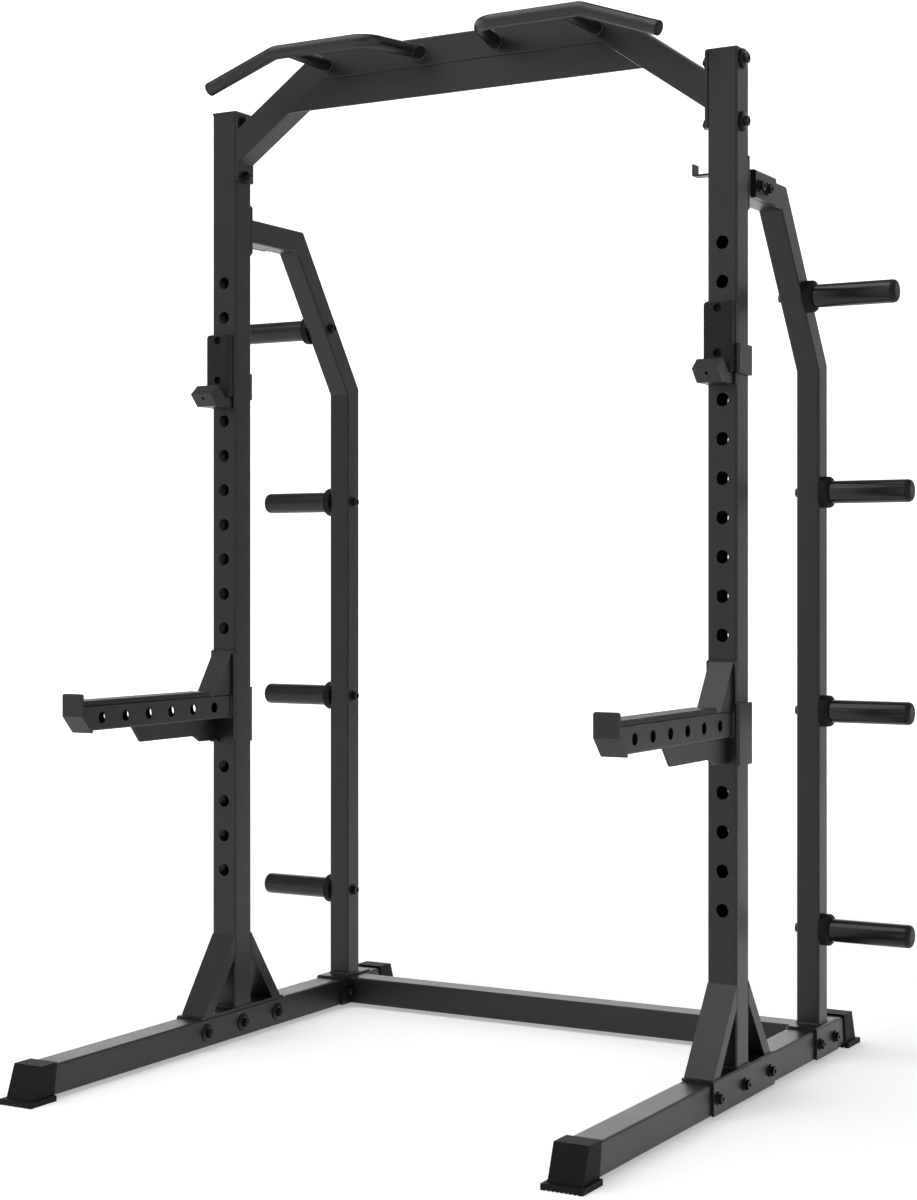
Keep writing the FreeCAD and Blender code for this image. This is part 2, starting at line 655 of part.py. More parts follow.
def crossmember():
    """Square tube between the rails and the plates on its ends."""
    tube = new_body("crossmember_tube")
    hollow = "upright_size - 2 * upright_wall"
    ring = [
        ("box", "post_y", "rail_mid", "upright_size", "upright_size", "tube_corner"),
        ("box", "post_y", "rail_mid", hollow, hollow, "tube_corner - upright_wall"),
    ]
    pad(tube, "YZ_Plane", "0", ring, "2 * (inner_x - plate_wall)", both=True)

    flanges = new_body("crossmember_flanges")
    plate = [
        ("post_y - rear_bracket_half", "rail_lift"), ("post_y + rear_bracket_half", "rail_lift"),
        ("post_y + rear_bracket_half", "rail_top"), ("post_y - rear_bracket_half", "rail_top"),
    ]
    for start in ("inner_x - plate_wall", "-inner_x"):
        pad(flanges, "YZ_Plane", start, [("polygon", plate)], "plate_wall")
    pocket(flanges, "YZ_Plane", "0", bolt_circles(REAR_BOLTS, "rail_mid"), "2 * inner_x + 2")
    return gather("rear_crossmember", [tube, flanges])


keep_pair(rear_post())
keep_pair(rear_slant())
keep_pair(rear_top())
rear_bracket = bent_bracket("rear_bracket_right", "post_y", "rear_bracket_half", REAR_BOLTS)
keep(gather("rear_brackets", [rear_bracket, mirror(rear_bracket, "rear_bracket_image")]))
keep_pair(top_clamp())
keep(crossmember())


# ---------------------------------------------------------------- pull-up beam
def beam_tube():
    """Level tube of the beam, mitred at both ends."""
    body = new_body("beam_tube")
    ring = square_ring("upright_y", "beam_mid", "upright_size", "upright_wall")
    pad(body, "YZ_Plane", "0", ring, "2 * (bend_x + upright_size)", both=True)
    for side in (-1, 1):
        beyond = mitre(f"{side} * bend_x", "beam_mid", f"{side} * (90 - leg_angle / 2)", "2 * upright_size", -1)
        pocket(body, "XZ_Plane", "-upright_y", [("polygon", beyond)], "2 * upright_size")
    return body


def beam_leg():
    """Sloping leg of the beam, from the mitre down to the end plate."""
    body = new_body("beam_leg_right")
    ring = square_ring("0", "0", "upright_size", "upright_wall")
    back = "upright_size"
    run = "(plate_in - bend_x) / cos(leg_angle)"
    pad(body, "YZ_Plane", f"bend_x - {back} * cos(leg_angle)", ring, f"{run} + 3 * {back}",
        base=("upright_y", f"beam_mid + {back} * sin(leg_angle)"), tilt="leg_angle")
    before = mitre("bend_x", "beam_mid", "90 - leg_angle / 2", "2 * upright_size", 1)
    pocket(body, "XZ_Plane", "-upright_y", [("polygon", before)], "2 * upright_size")
    deep = "6 * upright_size"
    beyond = [
        ("plate_in", f"beam_top - {deep}"), (f"plate_in + {deep}", f"beam_top - {deep}"),
        (f"plate_in + {deep}", "beam_top"), ("plate_in", "beam_top"),
    ]
    pocket(body, "XZ_Plane", "-upright_y", [("polygon", beyond)], "2 * upright_size")
    return body


def beam_end_plate():
    """Bent plate: bolted to the upright's inner face and turned over its top."""
    body = new_body("beam_end_plate_right")
    low = "plate_top - end_plate_drop"
    outline = [
        ("plate_in", low), ("inner_x", low), ("inner_x", "upright_top"),
        ("outer_x", "upright_top"), ("outer_x", "plate_top"), ("plate_in", "plate_top"),
    ]
    pad(body, "XZ_Plane", "-upright_y", [("polygon", outline)], "upright_size", both=True)
    round_edges(body, "flange_wall", lambda edge: along(edge, "y") and at(edge, x="plate_in", z="plate_top"))
    holes = bolt_circles(["upright_y"], "upper_bolt") + bolt_circles(["upright_y"], "lower_bolt")
    pocket(body, "YZ_Plane", "inner_x", holes, "4 * flange_wall")
    return body


def beam_panel():
    """Plain front panel that fills the corner under the level tube."""
    body = new_body("beam_panel")
    half_low = "beam_half + panel_height / tan(leg_angle) - 2 * panel_gap"
    half_high = "beam_half - panel_gap"
    outline = [
        (f"-({half_low})", "beam_low - panel_height"), (half_low, "beam_low - panel_height"),
        (half_high, "beam_low"), (f"-({half_high})", "beam_low"),
    ]
    pad(body, "XZ_Plane", "-panel_gap", [("polygon", outline)], "panel_sheet", backwards=True)
    return body


keep(beam_tube())
keep_pair(beam_leg())
keep_pair(beam_end_plate())
keep(beam_panel())


# ---------------------------------------------------------------- pull-up handles
def bent_path(points, radius):
    """Straight runs joined by tangent arcs of one radius."""
    edges = []
    start = points[0]
    for before, corner, after in zip(points, points[1:], points[2:]):
        arriving = (corner - before).normalize()
        leaving = (after - corner).normalize()
        turn = arriving.getAngle(leaving)
        cut = radius * math.tan(turn / 2)
        arc_start = corner - arriving * cut
        arc_end = corner + leaving * cut
        inward = (leaving - arriving).normalize()
        centre = corner + inward * (radius / math.cos(turn / 2))
        arc_middle = centre - inward * radius
        edges.append(Part.LineSegment(start, arc_start).toShape())
        edges.append(Part.Arc(arc_start, arc_middle, arc_end).toShape())
        start = arc_end
    edges.append(Part.LineSegment(start, points[-1]).toShape())
    return Part.Wire(edges)


def swept(path, radius):
    """A round bar along the path."""
    first = path.Edges[0]
    start = first.valueAt(first.FirstParameter)
    heading = first.tangentAt(first.FirstParameter)
    ring = Part.Wire([Part.makeCircle(radius, start, heading)])
    return path.makePipeShell([ring], True, False)


def handle_points():
    """Corners of the right handle's centre line: root, knee, elbow and tip."""
    level = value("beam_mid")
    front = -value("handle_reach")
    return [
        Vector(value("handle_root"), 0, level),
        Vector(value("handle_knee"), front, level),
        Vector(value("handle_elbow"), front, level),
        Vector(value("handle_tip"), front, level - value("handle_fall")),
    ]


def handle():
    """Bent pull-up handle, cut square against the beam's front face."""
    points = handle_points()
    heading = (points[1] - points[0]).normalize()
    points[0] = points[0] - heading * value("2 * handle_radius")
    path = bent_path(points, value("handle_bend"))
    tube = swept(path, value("handle_radius"))
    tube = tube.cut(swept(path, value("handle_radius - handle_wall")))
    room = value("8 * handle_radius")
    corner = Vector(points[0].x - room / 2, 0, points[0].z - room / 2)
    behind = Part.makeBox(room, room, room, corner)
    piece = doc.addObject("Part::Feature", "handle_right")
    piece.Label = "handle_right"
    piece.Shape = tube.cut(behind)
    return piece


def handle_stub():
    """Round stub between the beam and the level part of the handle."""
    stub = doc.addObject("Part::Cylinder", "handle_stub_blank")
    stub.setExpression("Radius", formula("stub_radius"))
    stub.setExpression("Height", formula("handle_reach"))
    stub.Placement = FreeCAD.Placement(Vector(0, 0, 0), FreeCAD.Rotation(Vector(1, 0, 0), 90))
    stub.setExpression("Placement.Base.x", formula("stub_offset"))
    stub.setExpression("Placement.Base.z", formula("beam_mid"))
    bar = doc.addObject("Part::Cylinder", "handle_bar_space")
    bar.setExpression("Radius", formula("handle_radius"))
    bar.setExpression("Height", formula("4 * handle_radius"))
    bar.Placement = FreeCAD.Placement(Vector(0, 0, 0), FreeCAD.Rotation(Vector(0, 1, 0), 90))
    bar.setExpression("Placement.Base.x", formula("stub_offset - 2 * handle_radius"))
    bar.setExpression("Placement.Base.y", formula("-handle_reach"))
    bar.setExpression("Placement.Base.z", formula("beam_mid"))
    coped = doc.addObject("Part::Cut", "handle_stub_right")
    coped.Base = stub
    coped.Tool = bar
    return coped


def handle_cap():
    """Rounded plastic cap with a plug in the open end of the handle."""
    *_, elbow, tip = handle_points()
    heading = (tip - elbow).normalize()
    radius = value("handle_radius")
    thickness = value("handle_cap_length")
    disc = Part.makeCylinder(radius, thickness, tip, heading)
    far = tip + heading * thickness
    rim = [edge for edge in disc.Edges if edge.CenterOfMass.distanceToPoint(far) < 0.01]
    disc = disc.makeFillet(thickness * 0.7, rim)
    plug = Part.makeCylinder(value("handle_radius - handle_wall"), thickness * 3, tip - heading * thickness * 3,
                             heading)
    cap = doc.addObject("Part::Feature", "handle_cap_right")
    cap.Shape = disc.fuse(plug)
    return cap


keep_pair(handle())
stub_right = handle_stub()
keep(gather("handle_stubs", [stub_right, mirror(stub_right, "handle_stub_image")]))
cap_right = handle_cap()
keep(gather("handle_caps", [cap_right, mirror(cap_right, "handle_cap_image")]))

# ---------------------------------------------------------------- storage pegs
PEGS = [("post_y", height) for height in LOW_PEGS] + [("high_peg_y", "peg_high")]


def peg_discs(radius):
    """A circle at each peg, seen along X."""
    return [("circle", depth, height, radius) for depth, height in PEGS]


def storage_pegs():
    """Tubes that carry spare plates, each with a threaded plug welded in its root."""
    body = new_body("storage_pegs_right")
    roots = peg_discs("peg_radius - collar_seat") + peg_discs("peg_radius - peg_wall")
    pad(body, "YZ_Plane", "post_out", roots, "collar_length")
    rings = peg_discs("peg_radius") + peg_discs("peg_radius - peg_wall")
    pad(body, "YZ_Plane", "post_out + collar_length", rings, "peg_length - collar_length")
    plugs = peg_discs("peg_radius - peg_wall") + peg_discs("bolt_radius")
    pad(body, "YZ_Plane", "post_out", plugs, "peg_base")
    return body


def peg_collars():
    """Rubber collars that keep plates off the post."""
    body = new_body("peg_collars_right")
    rings = peg_discs("collar_radius") + peg_discs("peg_radius - collar_seat")
    pad(body, "YZ_Plane", "post_out", rings, "collar_length")
    round_edges(body, "collar_round", lambda edge: at(edge, x="post_out + collar_length")
                and edge.Curve.Radius > value("peg_radius + 1"))
    return body


def peg_caps():
    """Domed caps pressed in the open ends of the pegs."""
    body = new_body("peg_caps_right")
    pad(body, "YZ_Plane", "post_out + peg_length", peg_discs("peg_radius - peg_cap_inset"), "peg_cap")
    round_edges(body, "peg_cap * 0.8", lambda edge: at(edge, x="post_out + peg_length + peg_cap"))
    pad(body, "YZ_Plane", "post_out + peg_length - peg_plug", peg_discs("peg_radius - peg_wall"), "peg_plug")
    return body


keep_pair(storage_pegs())
for maker, label in ((peg_collars, "peg_collars"), (peg_caps, "peg_caps")):
    right_set = maker()
    keep(gather(label, [right_set, mirror(right_set, f"{label}_image")]))


# ---------------------------------------------------------------- fasteners
def hexagon(u, v, radius):
    """Six corners round a point, flats up and down."""
    return ("polygon", [(f"{u} + {radius} * cos({60 * k})", f"{v} + {radius} * sin({60 * k})") for k in range(6)])


def bolt_set(label, places, head_at, nut_at, head_disc=("washer_radius", "washer_sheet"),
             nut_washer="washer_radius"):
    """Bolts along X with washers: the head on the +X side, a nut on the -X side."""
    body = new_body(label)
    washer, sheet_wall = head_disc
    tail = f"{nut_at} - washer_sheet - nut_height - bolt_radius / 2"
    pad(body, "YZ_Plane", tail, [("circle", u, v, "bolt_radius") for u, v in places], f"{head_at} - ({tail})")
    pad(body, "YZ_Plane", head_at, [("circle", u, v, washer) for u, v in places], sheet_wall)
    pad(body, "YZ_Plane", f"{head_at} + {sheet_wall}", [hexagon(u, v, "bolt_head_radius") for u, v in places],
        "bolt_head")
    pad(body, "YZ_Plane", nut_at, [("circle", u, v, nut_washer) for u, v in places], "washer_sheet",
        backwards=True)
    pad(body, "YZ_Plane", f"{nut_at} - washer_sheet", [hexagon(u, v, "bolt_head_radius") for u, v in places],
        "nut_height", backwards=True)
    return body


def peg_bolt_set():
    """Bolts from the inner face of the posts into the plugs of the pegs."""
    body = new_body("peg_bolts_right")
    pad(body, "YZ_Plane", "post_in", peg_discs("bolt_radius"), "post_size + peg_base")
    pad(body, "YZ_Plane", "post_in", peg_discs("washer_radius"), "washer_sheet", backwards=True)
    heads = [hexagon(depth, height, "bolt_head_radius") for depth, height in PEGS]
    pad(body, "YZ_Plane", "post_in - washer_sheet", heads, "bolt_head", backwards=True)
    return body


BOLT_SETS = {
    "bracket_bolts": [
        bolt_set("bracket_bolts_right", [(y, "rail_mid") for y in UPRIGHT_BOLTS], "skin_x", "inner_x",
                 nut_washer="disc_radius"),
        bolt_set("rear_bolts_right", [(y, "rail_mid") for y in REAR_BOLTS], "skin_x", "inner_x - plate_wall"),
    ],
    "beam_bolts": [
        bolt_set("beam_bolts_right", [("upright_y", "upper_bolt"), ("upright_y", "lower_bolt")],
                 "outer_x", "plate_in", ("disc_radius", "disc_sheet")),
    ],
    "clamp_bolts": [
        bolt_set("clamp_bolts_right", [("clamp_bolt_y", "top_z"), ("clamp_bolt_y + clamp_bolt_gap", "top_z")],
                 "post_out + clamp_wall", "post_out - post_wall"),
    ],
    "peg_bolts": [peg_bolt_set()],
}
for label, right_sets in BOLT_SETS.items():
    images = [mirror(part, f"{part.Label}_image") for part in right_sets]
    keep(gather(label, right_sets + images))


# ---------------------------------------------------------------- accessory hanger
def accessory_hanger():
    """Bent strip on the inner face of the right upright, with two round-headed screws."""
    body = new_body("accessory_hanger")
    base_in = "inner_x - hanger_sheet"
    tip = "inner_x - hanger_reach"
    half = "hanger_sheet / 2"
    mid = "hanger_height"
    strip = [
        ("inner_x", f"{mid} - hanger_base / 2"), ("inner_x", f"{mid} + hanger_base / 2"),
        (base_in, f"{mid} + hanger_base / 2"), (base_in, f"{mid} + {half}"),
        (f"{tip} + hanger_sheet", f"{mid} + {half}"), (f"{tip} + hanger_sheet", f"{mid} + hanger_lip"),
        (tip, f"{mid} + hanger_lip"), (tip, f"{mid} - {half}"),
        (base_in, f"{mid} - {half}"), (base_in, f"{mid} - hanger_base / 2"),
    ]
    pad(body, "XZ_Plane", "-upright_y", [("polygon", strip)], "hanger_width", both=True)
    round_edges(body, "hanger_sheet - 0.5", lambda edge: along(edge, "y") and at(edge, x=tip, z=f"{mid} - {half}"))
    heads = [("circle", "upright_y", f"{mid} + {sign} * hanger_base / 4", "screw_shank + 1") for sign in (-1, 1)]
    pad(body, "YZ_Plane", base_in, heads, "hanger_sheet", backwards=True)
    return body


keep(accessory_hanger())


# ---------------------------------------------------------------- attachments on the uprights
def wrap(body, low, high, face):
    """Plates that hug the upright: along its outer side and behind its back."""
    side_in = "outer_x + slide_gap"
    side_out = f"{side_in} + wrap_wall"
    back_in = "upright_size + slide_gap"
    back_out = f"{back_in} + wrap_wall"
    root = "upright_x + post_size / 4"
    outline = [
        (root, f"-({face})"), (side_out, f"-({face})"), (side_out, back_out),
        ("inner_x + wrap_margin", back_out), ("inner_x + wrap_margin", back_in),
        (side_in, back_in), (side_in, "-slide_gap"), (root, "-slide_gap"),
    ]
    pad(body, "XY_Plane", low, [("polygon", outline)], f"{high} - ({low})")
    round_edges(body, "wrap_wall", lambda edge: along(edge, "z") and (
        at(edge, x=side_out, y=back_out) or at(edge, x=side_out, y=f"-({face})")))


def locking_pin(label, height):
    """Round pin with a chamfered nose, through both walls of the upright."""
    body = new_body(label)
    shank = pad(body, "XZ_Plane", "slide_gap", [("circle", "upright_x", height, "pin_radius")],
                "pin_length", backwards=True)
    nose = body.newObject("PartDesign::Chamfer", f"{label}_nose")
    far = "pin_length - slide_gap"
    names = [f"Edge{n}" for n, edge in enumerate(shank.Shape.Edges, start=1) if at(edge, y=far)]
    nose.Base = (shank, names)
    nose.setExpression("Size", formula("pin_chamfer"))
    rebuilt(nose)
    return body


def hook_body():
    """J-hook: front plate, solid cradle with a ridged nose, and the wrap round the upright."""
    body = new_body("hook_body_right")
    top = "hook_z + hook_above"
    back = "-slide_gap"
    front = "-(slide_gap + hook_wall)"
    plate = [(back, "hook_low"), (back, top), (front, top), (front, "hook_low")]
    pad(body, "YZ_Plane", "upright_x", [("polygon", plate)], "hook_width", both=True)
    round_edges(body, "hook_round", lambda edge: along(edge, "y") and at(edge, z=top))
    cradle = [
        (front, "hook_low"), (front, "pad_bottom"), ("-cradle_reach", "pad_bottom"),
        ("-lip_reach + lip_width", "hook_low + lip_rise"), ("-lip_reach", "hook_low + lip_rise"),
        ("-hook_nose", "hook_low + nose_rise"), ("-lip_reach", "hook_low"),
    ]
    pad(body, "YZ_Plane", "upright_x", [("polygon", cradle)], "cradle_width", both=True)
    round_edges(body, "cradle_rise / 3", lambda edge: along(edge, "x")
                and at(edge, y="-cradle_reach", z="pad_bottom"))
    pocket(body, "XZ_Plane", "hook_nose", [("circle", "upright_x", "hook_low + nose_hole_rise", "nose_hole")],
           "hook_nose - lip_reach + nose_rise")
    wrap(body, "hook_z - hook_wrap_low", "hook_z - hook_wrap_high", "slide_gap + hook_wall")
    holes = [("circle", "upright_x", f"hook_z {shift}", "screw_shank")
             for shift in ("+ pad_screw_top", "- pad_screw_low")]
    pocket(body, "XZ_Plane", "slide_gap", holes, "4 * hook_wall")
    return body


def hook_pad():
    """Plastic pad that keeps the bar off the steel."""
    body = new_body("hook_pad_right")
    top = "hook_z + hook_above"
    tall = "hook_above + hook_below - cradle_rise"
    middle = f"{top} - ({tall}) / 2"
    sides = [("box", "upright_x", middle, "hook_width - 2 * pad_inset", tall, "hook_round")]
    pad(body, "XZ_Plane", "slide_gap + hook_wall", sides, "pad_sheet")
    round_edges(body, "pad_round", lambda edge: at(edge, y="-pad_front"))
    places = [f"hook_z {shift}" for shift in ("+ pad_screw_top", "- pad_screw_low")]
    shanks = [("circle", "upright_x", height, "screw_shank") for height in places]
    sinks = [("circle", "upright_x", height, "screw_head + 0.3") for height in places]
    pocket(body, "XZ_Plane", "pad_front", shanks, "4 * pad_sheet")
    pocket(body, "XZ_Plane", "pad_front", sinks, "2 * screw_sink")
    return body


def hook_screws():
    """Two socket screws in the pad's counterbores."""
    body = new_body("hook_screws_right")
    places = [f"hook_z {shift}" for shift in ("+ pad_screw_top", "- pad_screw_low")]
    seat = "pad_front - screw_sink"
    pad(body, "XZ_Plane", "slide_gap", [("circle", "upright_x", z, "screw_shank") for z in places],
        f"{seat} - slide_gap")
    pad(body, "XZ_Plane", seat, [("circle", "upright_x", z, "screw_head") for z in places], "screw_head_height")
    sockets = [hexagon("upright_x", z, "screw_shank") for z in places]
    pocket(body, "XZ_Plane", f"{seat} + screw_head_height", sockets, "screw_head_height")
    return body


for piece in (hook_body(), locking_pin("hook_pin_right", "hook_z"), hook_pad(), hook_screws()):
    keep_pair(piece)


# ---------------------------------------------------------------- safety arms
def arm_tube():
    """Square tube of the safety arm with cross holes; its front end follows the stop plate."""
    body = new_body("arm_tube_right")
    ring = square_ring("upright_x", "tube_mid", "post_size", "post_wall")
    pad(body, "XZ_Plane", "arm_face", ring, "arm_length - arm_face")
    inside = "-(arm_length - stop_sheet)"
    tilt_run = "post_size * tan(stop_slope)"
    ahead = [
        (inside, "tube_high + 1"), (inside, "stop_bend_in"),
        (f"{inside} + {tilt_run}", "stop_bend_in - post_size"),
        ("-arm_length - 1", "stop_bend_in - post_size"), ("-arm_length - 1", "tube_high + 1"),
    ]
    pocket(body, "YZ_Plane", "upright_x", [("polygon", ahead)], "post_size + 2")
    holes = [("circle", f"-arm_hole_first - {step} * arm_hole_pitch", "tube_mid", "arm_hole_radius")
             for step in range(int(value("arm_hole_count")))]
    pocket(body, "YZ_Plane", "upright_x", holes, "post_size + 2")
    return body


def arm_bracket():
    """Welded head of the arm: front plate, folded gusset over the tube and the wrap."""
    body = new_body("arm_bracket_right")
    low = "arm_z - arm_plate_low"
    high = "arm_z + arm_plate_high"
    middle = f"({low} + {high}) / 2"
    front = [("box", "upright_x", middle, "upright_size", f"{high} - ({low})", "plate_wall")]
    pad(body, "XZ_Plane", "slide_gap", front, "arm_plate")
    gusset = [
        ("-arm_face", "tube_high"), ("-arm_face", "tube_high + gusset_rise"), ("-gusset_run", "tube_high"),
    ]
    pad(body, "YZ_Plane", "upright_x", [("polygon", gusset)], "post_size", both=True)
    hollow = [
        ("-arm_face", "tube_high"), ("-arm_face", "tube_high + gusset_rise - 3 * gusset_wall"),
        ("-gusset_run + 2 * gusset_wall", "tube_high"),
    ]
    pocket(body, "YZ_Plane", "upright_x", [("polygon", hollow)], "post_size - 2 * gusset_wall")
    wrap(body, "arm_z - arm_wrap_low", "arm_z - arm_wrap_high", "arm_face")
    return body


def arm_keel():
    """Upright plate welded under the arm, deeper towards the front plate."""
    body = new_body("arm_keel_right")
    outline = [
        ("-keel_front", "tube_low"), ("-arm_face", "tube_low"), ("-arm_face", "tube_low - keel_root"),
        ("-keel_step + keel_slope", "tube_low - keel_root"), ("-keel_step", "tube_low - keel_depth"),
        ("-keel_front + keel_cut", "tube_low - keel_depth"),
    ]
    pad(body, "YZ_Plane", "upright_x + keel_shift - keel_sheet / 2", [("polygon", outline)], "keel_sheet")
    round_edges(body, "keel_sheet", lambda edge: along(edge, "x") and (
        at(edge, y="-keel_step + keel_slope", z="tube_low - keel_root")
        or at(edge, y="-keel_step", z="tube_low - keel_depth")
        or at(edge, y="-keel_front + keel_cut", z="tube_low - keel_depth")))
    return body


def arm_pad():
    """Plastic strip along the top of the arm."""
    body = new_body("arm_pad_right")
    rear = "arm_pad_end"
    front = "arm_length - stop_sheet"
    section = [("box", "upright_x", "tube_high + arm_pad_sheet / 2", "post_size", "arm_pad_sheet", "pad_round - 1")]
    pad(body, "XZ_Plane", rear, section, f"{front} - {rear}")
    return body


def arm_stop():
    """Bent stop plate welded on the front end of the arm."""
    body = new_body("arm_stop_right")
    outer = "-arm_length"
    inner = "-arm_length + stop_sheet"
    shift_y = "stop_sheet * cos(stop_slope)"
    shift_z = "stop_sheet * sin(stop_slope)"
    profile = [
        (outer, "stop_high"), (outer, "stop_bend"),
        (f"{outer} + stop_run", "stop_bend - stop_fall"),
        (f"{outer} + stop_run + {shift_y}", f"stop_bend - stop_fall + {shift_z}"),
        (inner, "stop_bend_in"), (inner, "stop_high"),
    ]
    pad(body, "YZ_Plane", "upright_x", [("polygon", profile)], "post_size", both=True)
    round_edges(body, "plate_wall", lambda edge: along(edge, "y") and at(edge, z="stop_high"))
    return body


for piece in (arm_tube(), arm_bracket(), locking_pin("arm_pin_right", "arm_z"),
              arm_keel(), arm_pad(), arm_stop()):
    keep_pair(piece)

# ---------------------------------------------------------------- check and write
doc.recompute()
for item in doc.Objects:
    if "Invalid" in item.State or "Error" in item.State:
        raise RuntimeError(f"{item.Label} failed: {item.State}")

os.makedirs("parts", exist_ok=True)
for node in NODES:
    shape = node.Shape
    if shape.isNull() or not shape.isValid() or not shape.Solids:
        raise RuntimeError(f"{node.Label} has no valid solid")
    shape.exportStep(f"parts/{node.Label}.step")
print(len(NODES), "sub-parts written")
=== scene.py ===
# %% [markdown]
# # A half rack, finished for the studio
# The rack arrives from the design file as exact solids that already stand where they belong.
# This lesson gives them their finishes and adds what a designer's solids leave out: knurled
# grips, weld beads, bolt heads, printed numbers.

import math

import bmesh
import bpy
import numpy as np
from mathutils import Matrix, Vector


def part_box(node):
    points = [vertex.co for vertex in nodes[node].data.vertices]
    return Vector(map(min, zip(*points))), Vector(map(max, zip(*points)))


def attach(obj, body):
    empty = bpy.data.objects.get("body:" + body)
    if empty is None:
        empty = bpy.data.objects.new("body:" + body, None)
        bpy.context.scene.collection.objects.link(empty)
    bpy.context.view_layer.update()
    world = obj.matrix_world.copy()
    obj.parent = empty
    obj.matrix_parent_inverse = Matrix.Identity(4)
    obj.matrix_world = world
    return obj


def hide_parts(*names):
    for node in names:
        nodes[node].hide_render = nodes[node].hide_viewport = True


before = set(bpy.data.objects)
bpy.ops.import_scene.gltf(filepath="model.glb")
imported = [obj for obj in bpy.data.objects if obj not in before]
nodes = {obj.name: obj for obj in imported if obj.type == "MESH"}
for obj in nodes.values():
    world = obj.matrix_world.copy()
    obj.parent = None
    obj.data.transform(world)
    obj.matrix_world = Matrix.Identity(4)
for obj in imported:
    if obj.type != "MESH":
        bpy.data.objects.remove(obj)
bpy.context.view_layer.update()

# %% [markdown]
# ## Material helpers
# Every finish below is a small network of shader nodes.  These helpers only add a node,
# set its inputs and join it to the next, so that each finish reads as a short recipe.


# %% Helpers for materials
def new_finish(name, colour, roughness, specular=0.5, metallic=0.0):
    """A material with a Principled shader; returns the material, its tree and the shader."""
    finish = bpy.data.materials.new(name)
    finish.use_nodes = True
    tree = finish.node_tree
    shader = tree.nodes["Principled BSDF"]
    shader.inputs["Base Color"].default_value = (*colour, 1.0)
    shader.inputs["Roughness"].default_value = roughness
    shader.inputs["Specular IOR Level"].default_value = specular
    shader.inputs["Metallic"].default_value = metallic
    return finish, tree, shader


def add_node(tree, kind, **settings):
    """A node of the given type; settings with an input's name set that input, others set the node."""
    node = tree.nodes.new(kind)
    for key, setting in settings.items():
        if key in node.inputs:
            node.inputs[key].default_value = setting
        else:
            setattr(node, key, setting)
    return node


def place_on_object(tree, scale=(1.0, 1.0, 1.0)):
    """A pattern position that stays with the piece: its own coordinates, in metres, scaled."""
    coordinates = add_node(tree, "ShaderNodeTexCoord")
    mapping = add_node(tree, "ShaderNodeMapping", Scale=scale)
    tree.links.new(coordinates.outputs["Object"], mapping.inputs["Vector"])
    return mapping.outputs["Vector"]


def colour_from(tree, fac, stops):
    """A colour ramp: stops are pairs of place and colour."""
    ramp = add_node(tree, "ShaderNodeValToRGB")
    elements = ramp.color_ramp.elements
    while len(elements) < len(stops):
        elements.new(0.5)
    for element, (place, colour) in zip(elements, stops):
        element.position = place
        element.color = (*colour, 1.0)
    tree.links.new(fac, ramp.inputs["Fac"])
    return ramp.outputs["Color"]


def range_from(tree, fac, low, high):
    """Stretch a 0 to 1 value to the range low to high."""
    stretch = add_node(tree, "ShaderNodeMapRange", **{"To Min": low, "To Max": high})
    tree.links.new(fac, stretch.inputs["Value"])
    return stretch.outputs["Result"]


def bump_from(tree, shader, height, distance, strength=1.0):
    """Raise the surface by a height pattern; distance is the full relief in metres."""
    bump = add_node(tree, "ShaderNodeBump", Strength=strength, Distance=distance)
    tree.links.new(height, bump.inputs["Height"])
    tree.links.new(bump.outputs["Normal"], shader.inputs["Normal"])
    return bump


# %% [markdown]
# ## Powder coat
# The steel is sprayed with dry powder and baked, which leaves a matte black skin with a very
# fine orange peel.  Two noises do it: a tight one for the grain that breaks up highlights,
# and a slow one for the cloudy change in sheen along a long tube.


# %% Powder coat
def powder_coat(name, colour, roughness, grain=1400.0, relief=0.00012):
    """Matte sprayed steel with a fine grain and a slow change of sheen."""
    finish, tree, shader = new_finish(name, colour, roughness, specular=0.42)
    position = place_on_object(tree)
    peel = add_node(tree, "ShaderNodeTexNoise", Scale=grain, Detail=3.0, Roughness=0.6)
    cloud = add_node(tree, "ShaderNodeTexNoise", Scale=9.0, Detail=4.0, Roughness=0.55)
    for noise in (peel, cloud):
        tree.links.new(position, noise.inputs["Vector"])
    dark = tuple(0.90 * c for c in colour)
    light = tuple(1.12 * c for c in colour)
    shade = colour_from(tree, cloud.outputs["Fac"], [(0.3, dark), (0.7, light)])
    tree.links.new(shade, shader.inputs["Base Color"])
    sheen = range_from(tree, cloud.outputs["Fac"], roughness - 0.07, roughness + 0.07)
    tree.links.new(sheen, shader.inputs["Roughness"])
    bump_from(tree, shader, peel.outputs["Fac"], relief)
    return finish


coat = powder_coat("powder_coat", (0.0060, 0.0060, 0.0062), 0.33)
peg_coat = powder_coat("peg_coat", (0.002, 0.002, 0.0021), 0.22, relief=0.00003)
pin_coat = powder_coat("pin_coat", (0.005, 0.005, 0.0052), 0.30, relief=0.00003)
grip_coat = powder_coat("grip_coat", (0.008, 0.008, 0.0082), 0.20, relief=0.00005)
print("powder coats:", coat.name, peg_coat.name, pin_coat.name)

# %% [markdown]
# ## Rubber, plastic and black bolts
# The feet and the peg collars are moulded rubber: almost no highlight and a soft mottling.
# The pads are a harder plastic with a leathery grain from the mould, which a Voronoi pattern
# gives.  The bolts are oiled black steel, darker and shinier than the paint around them.


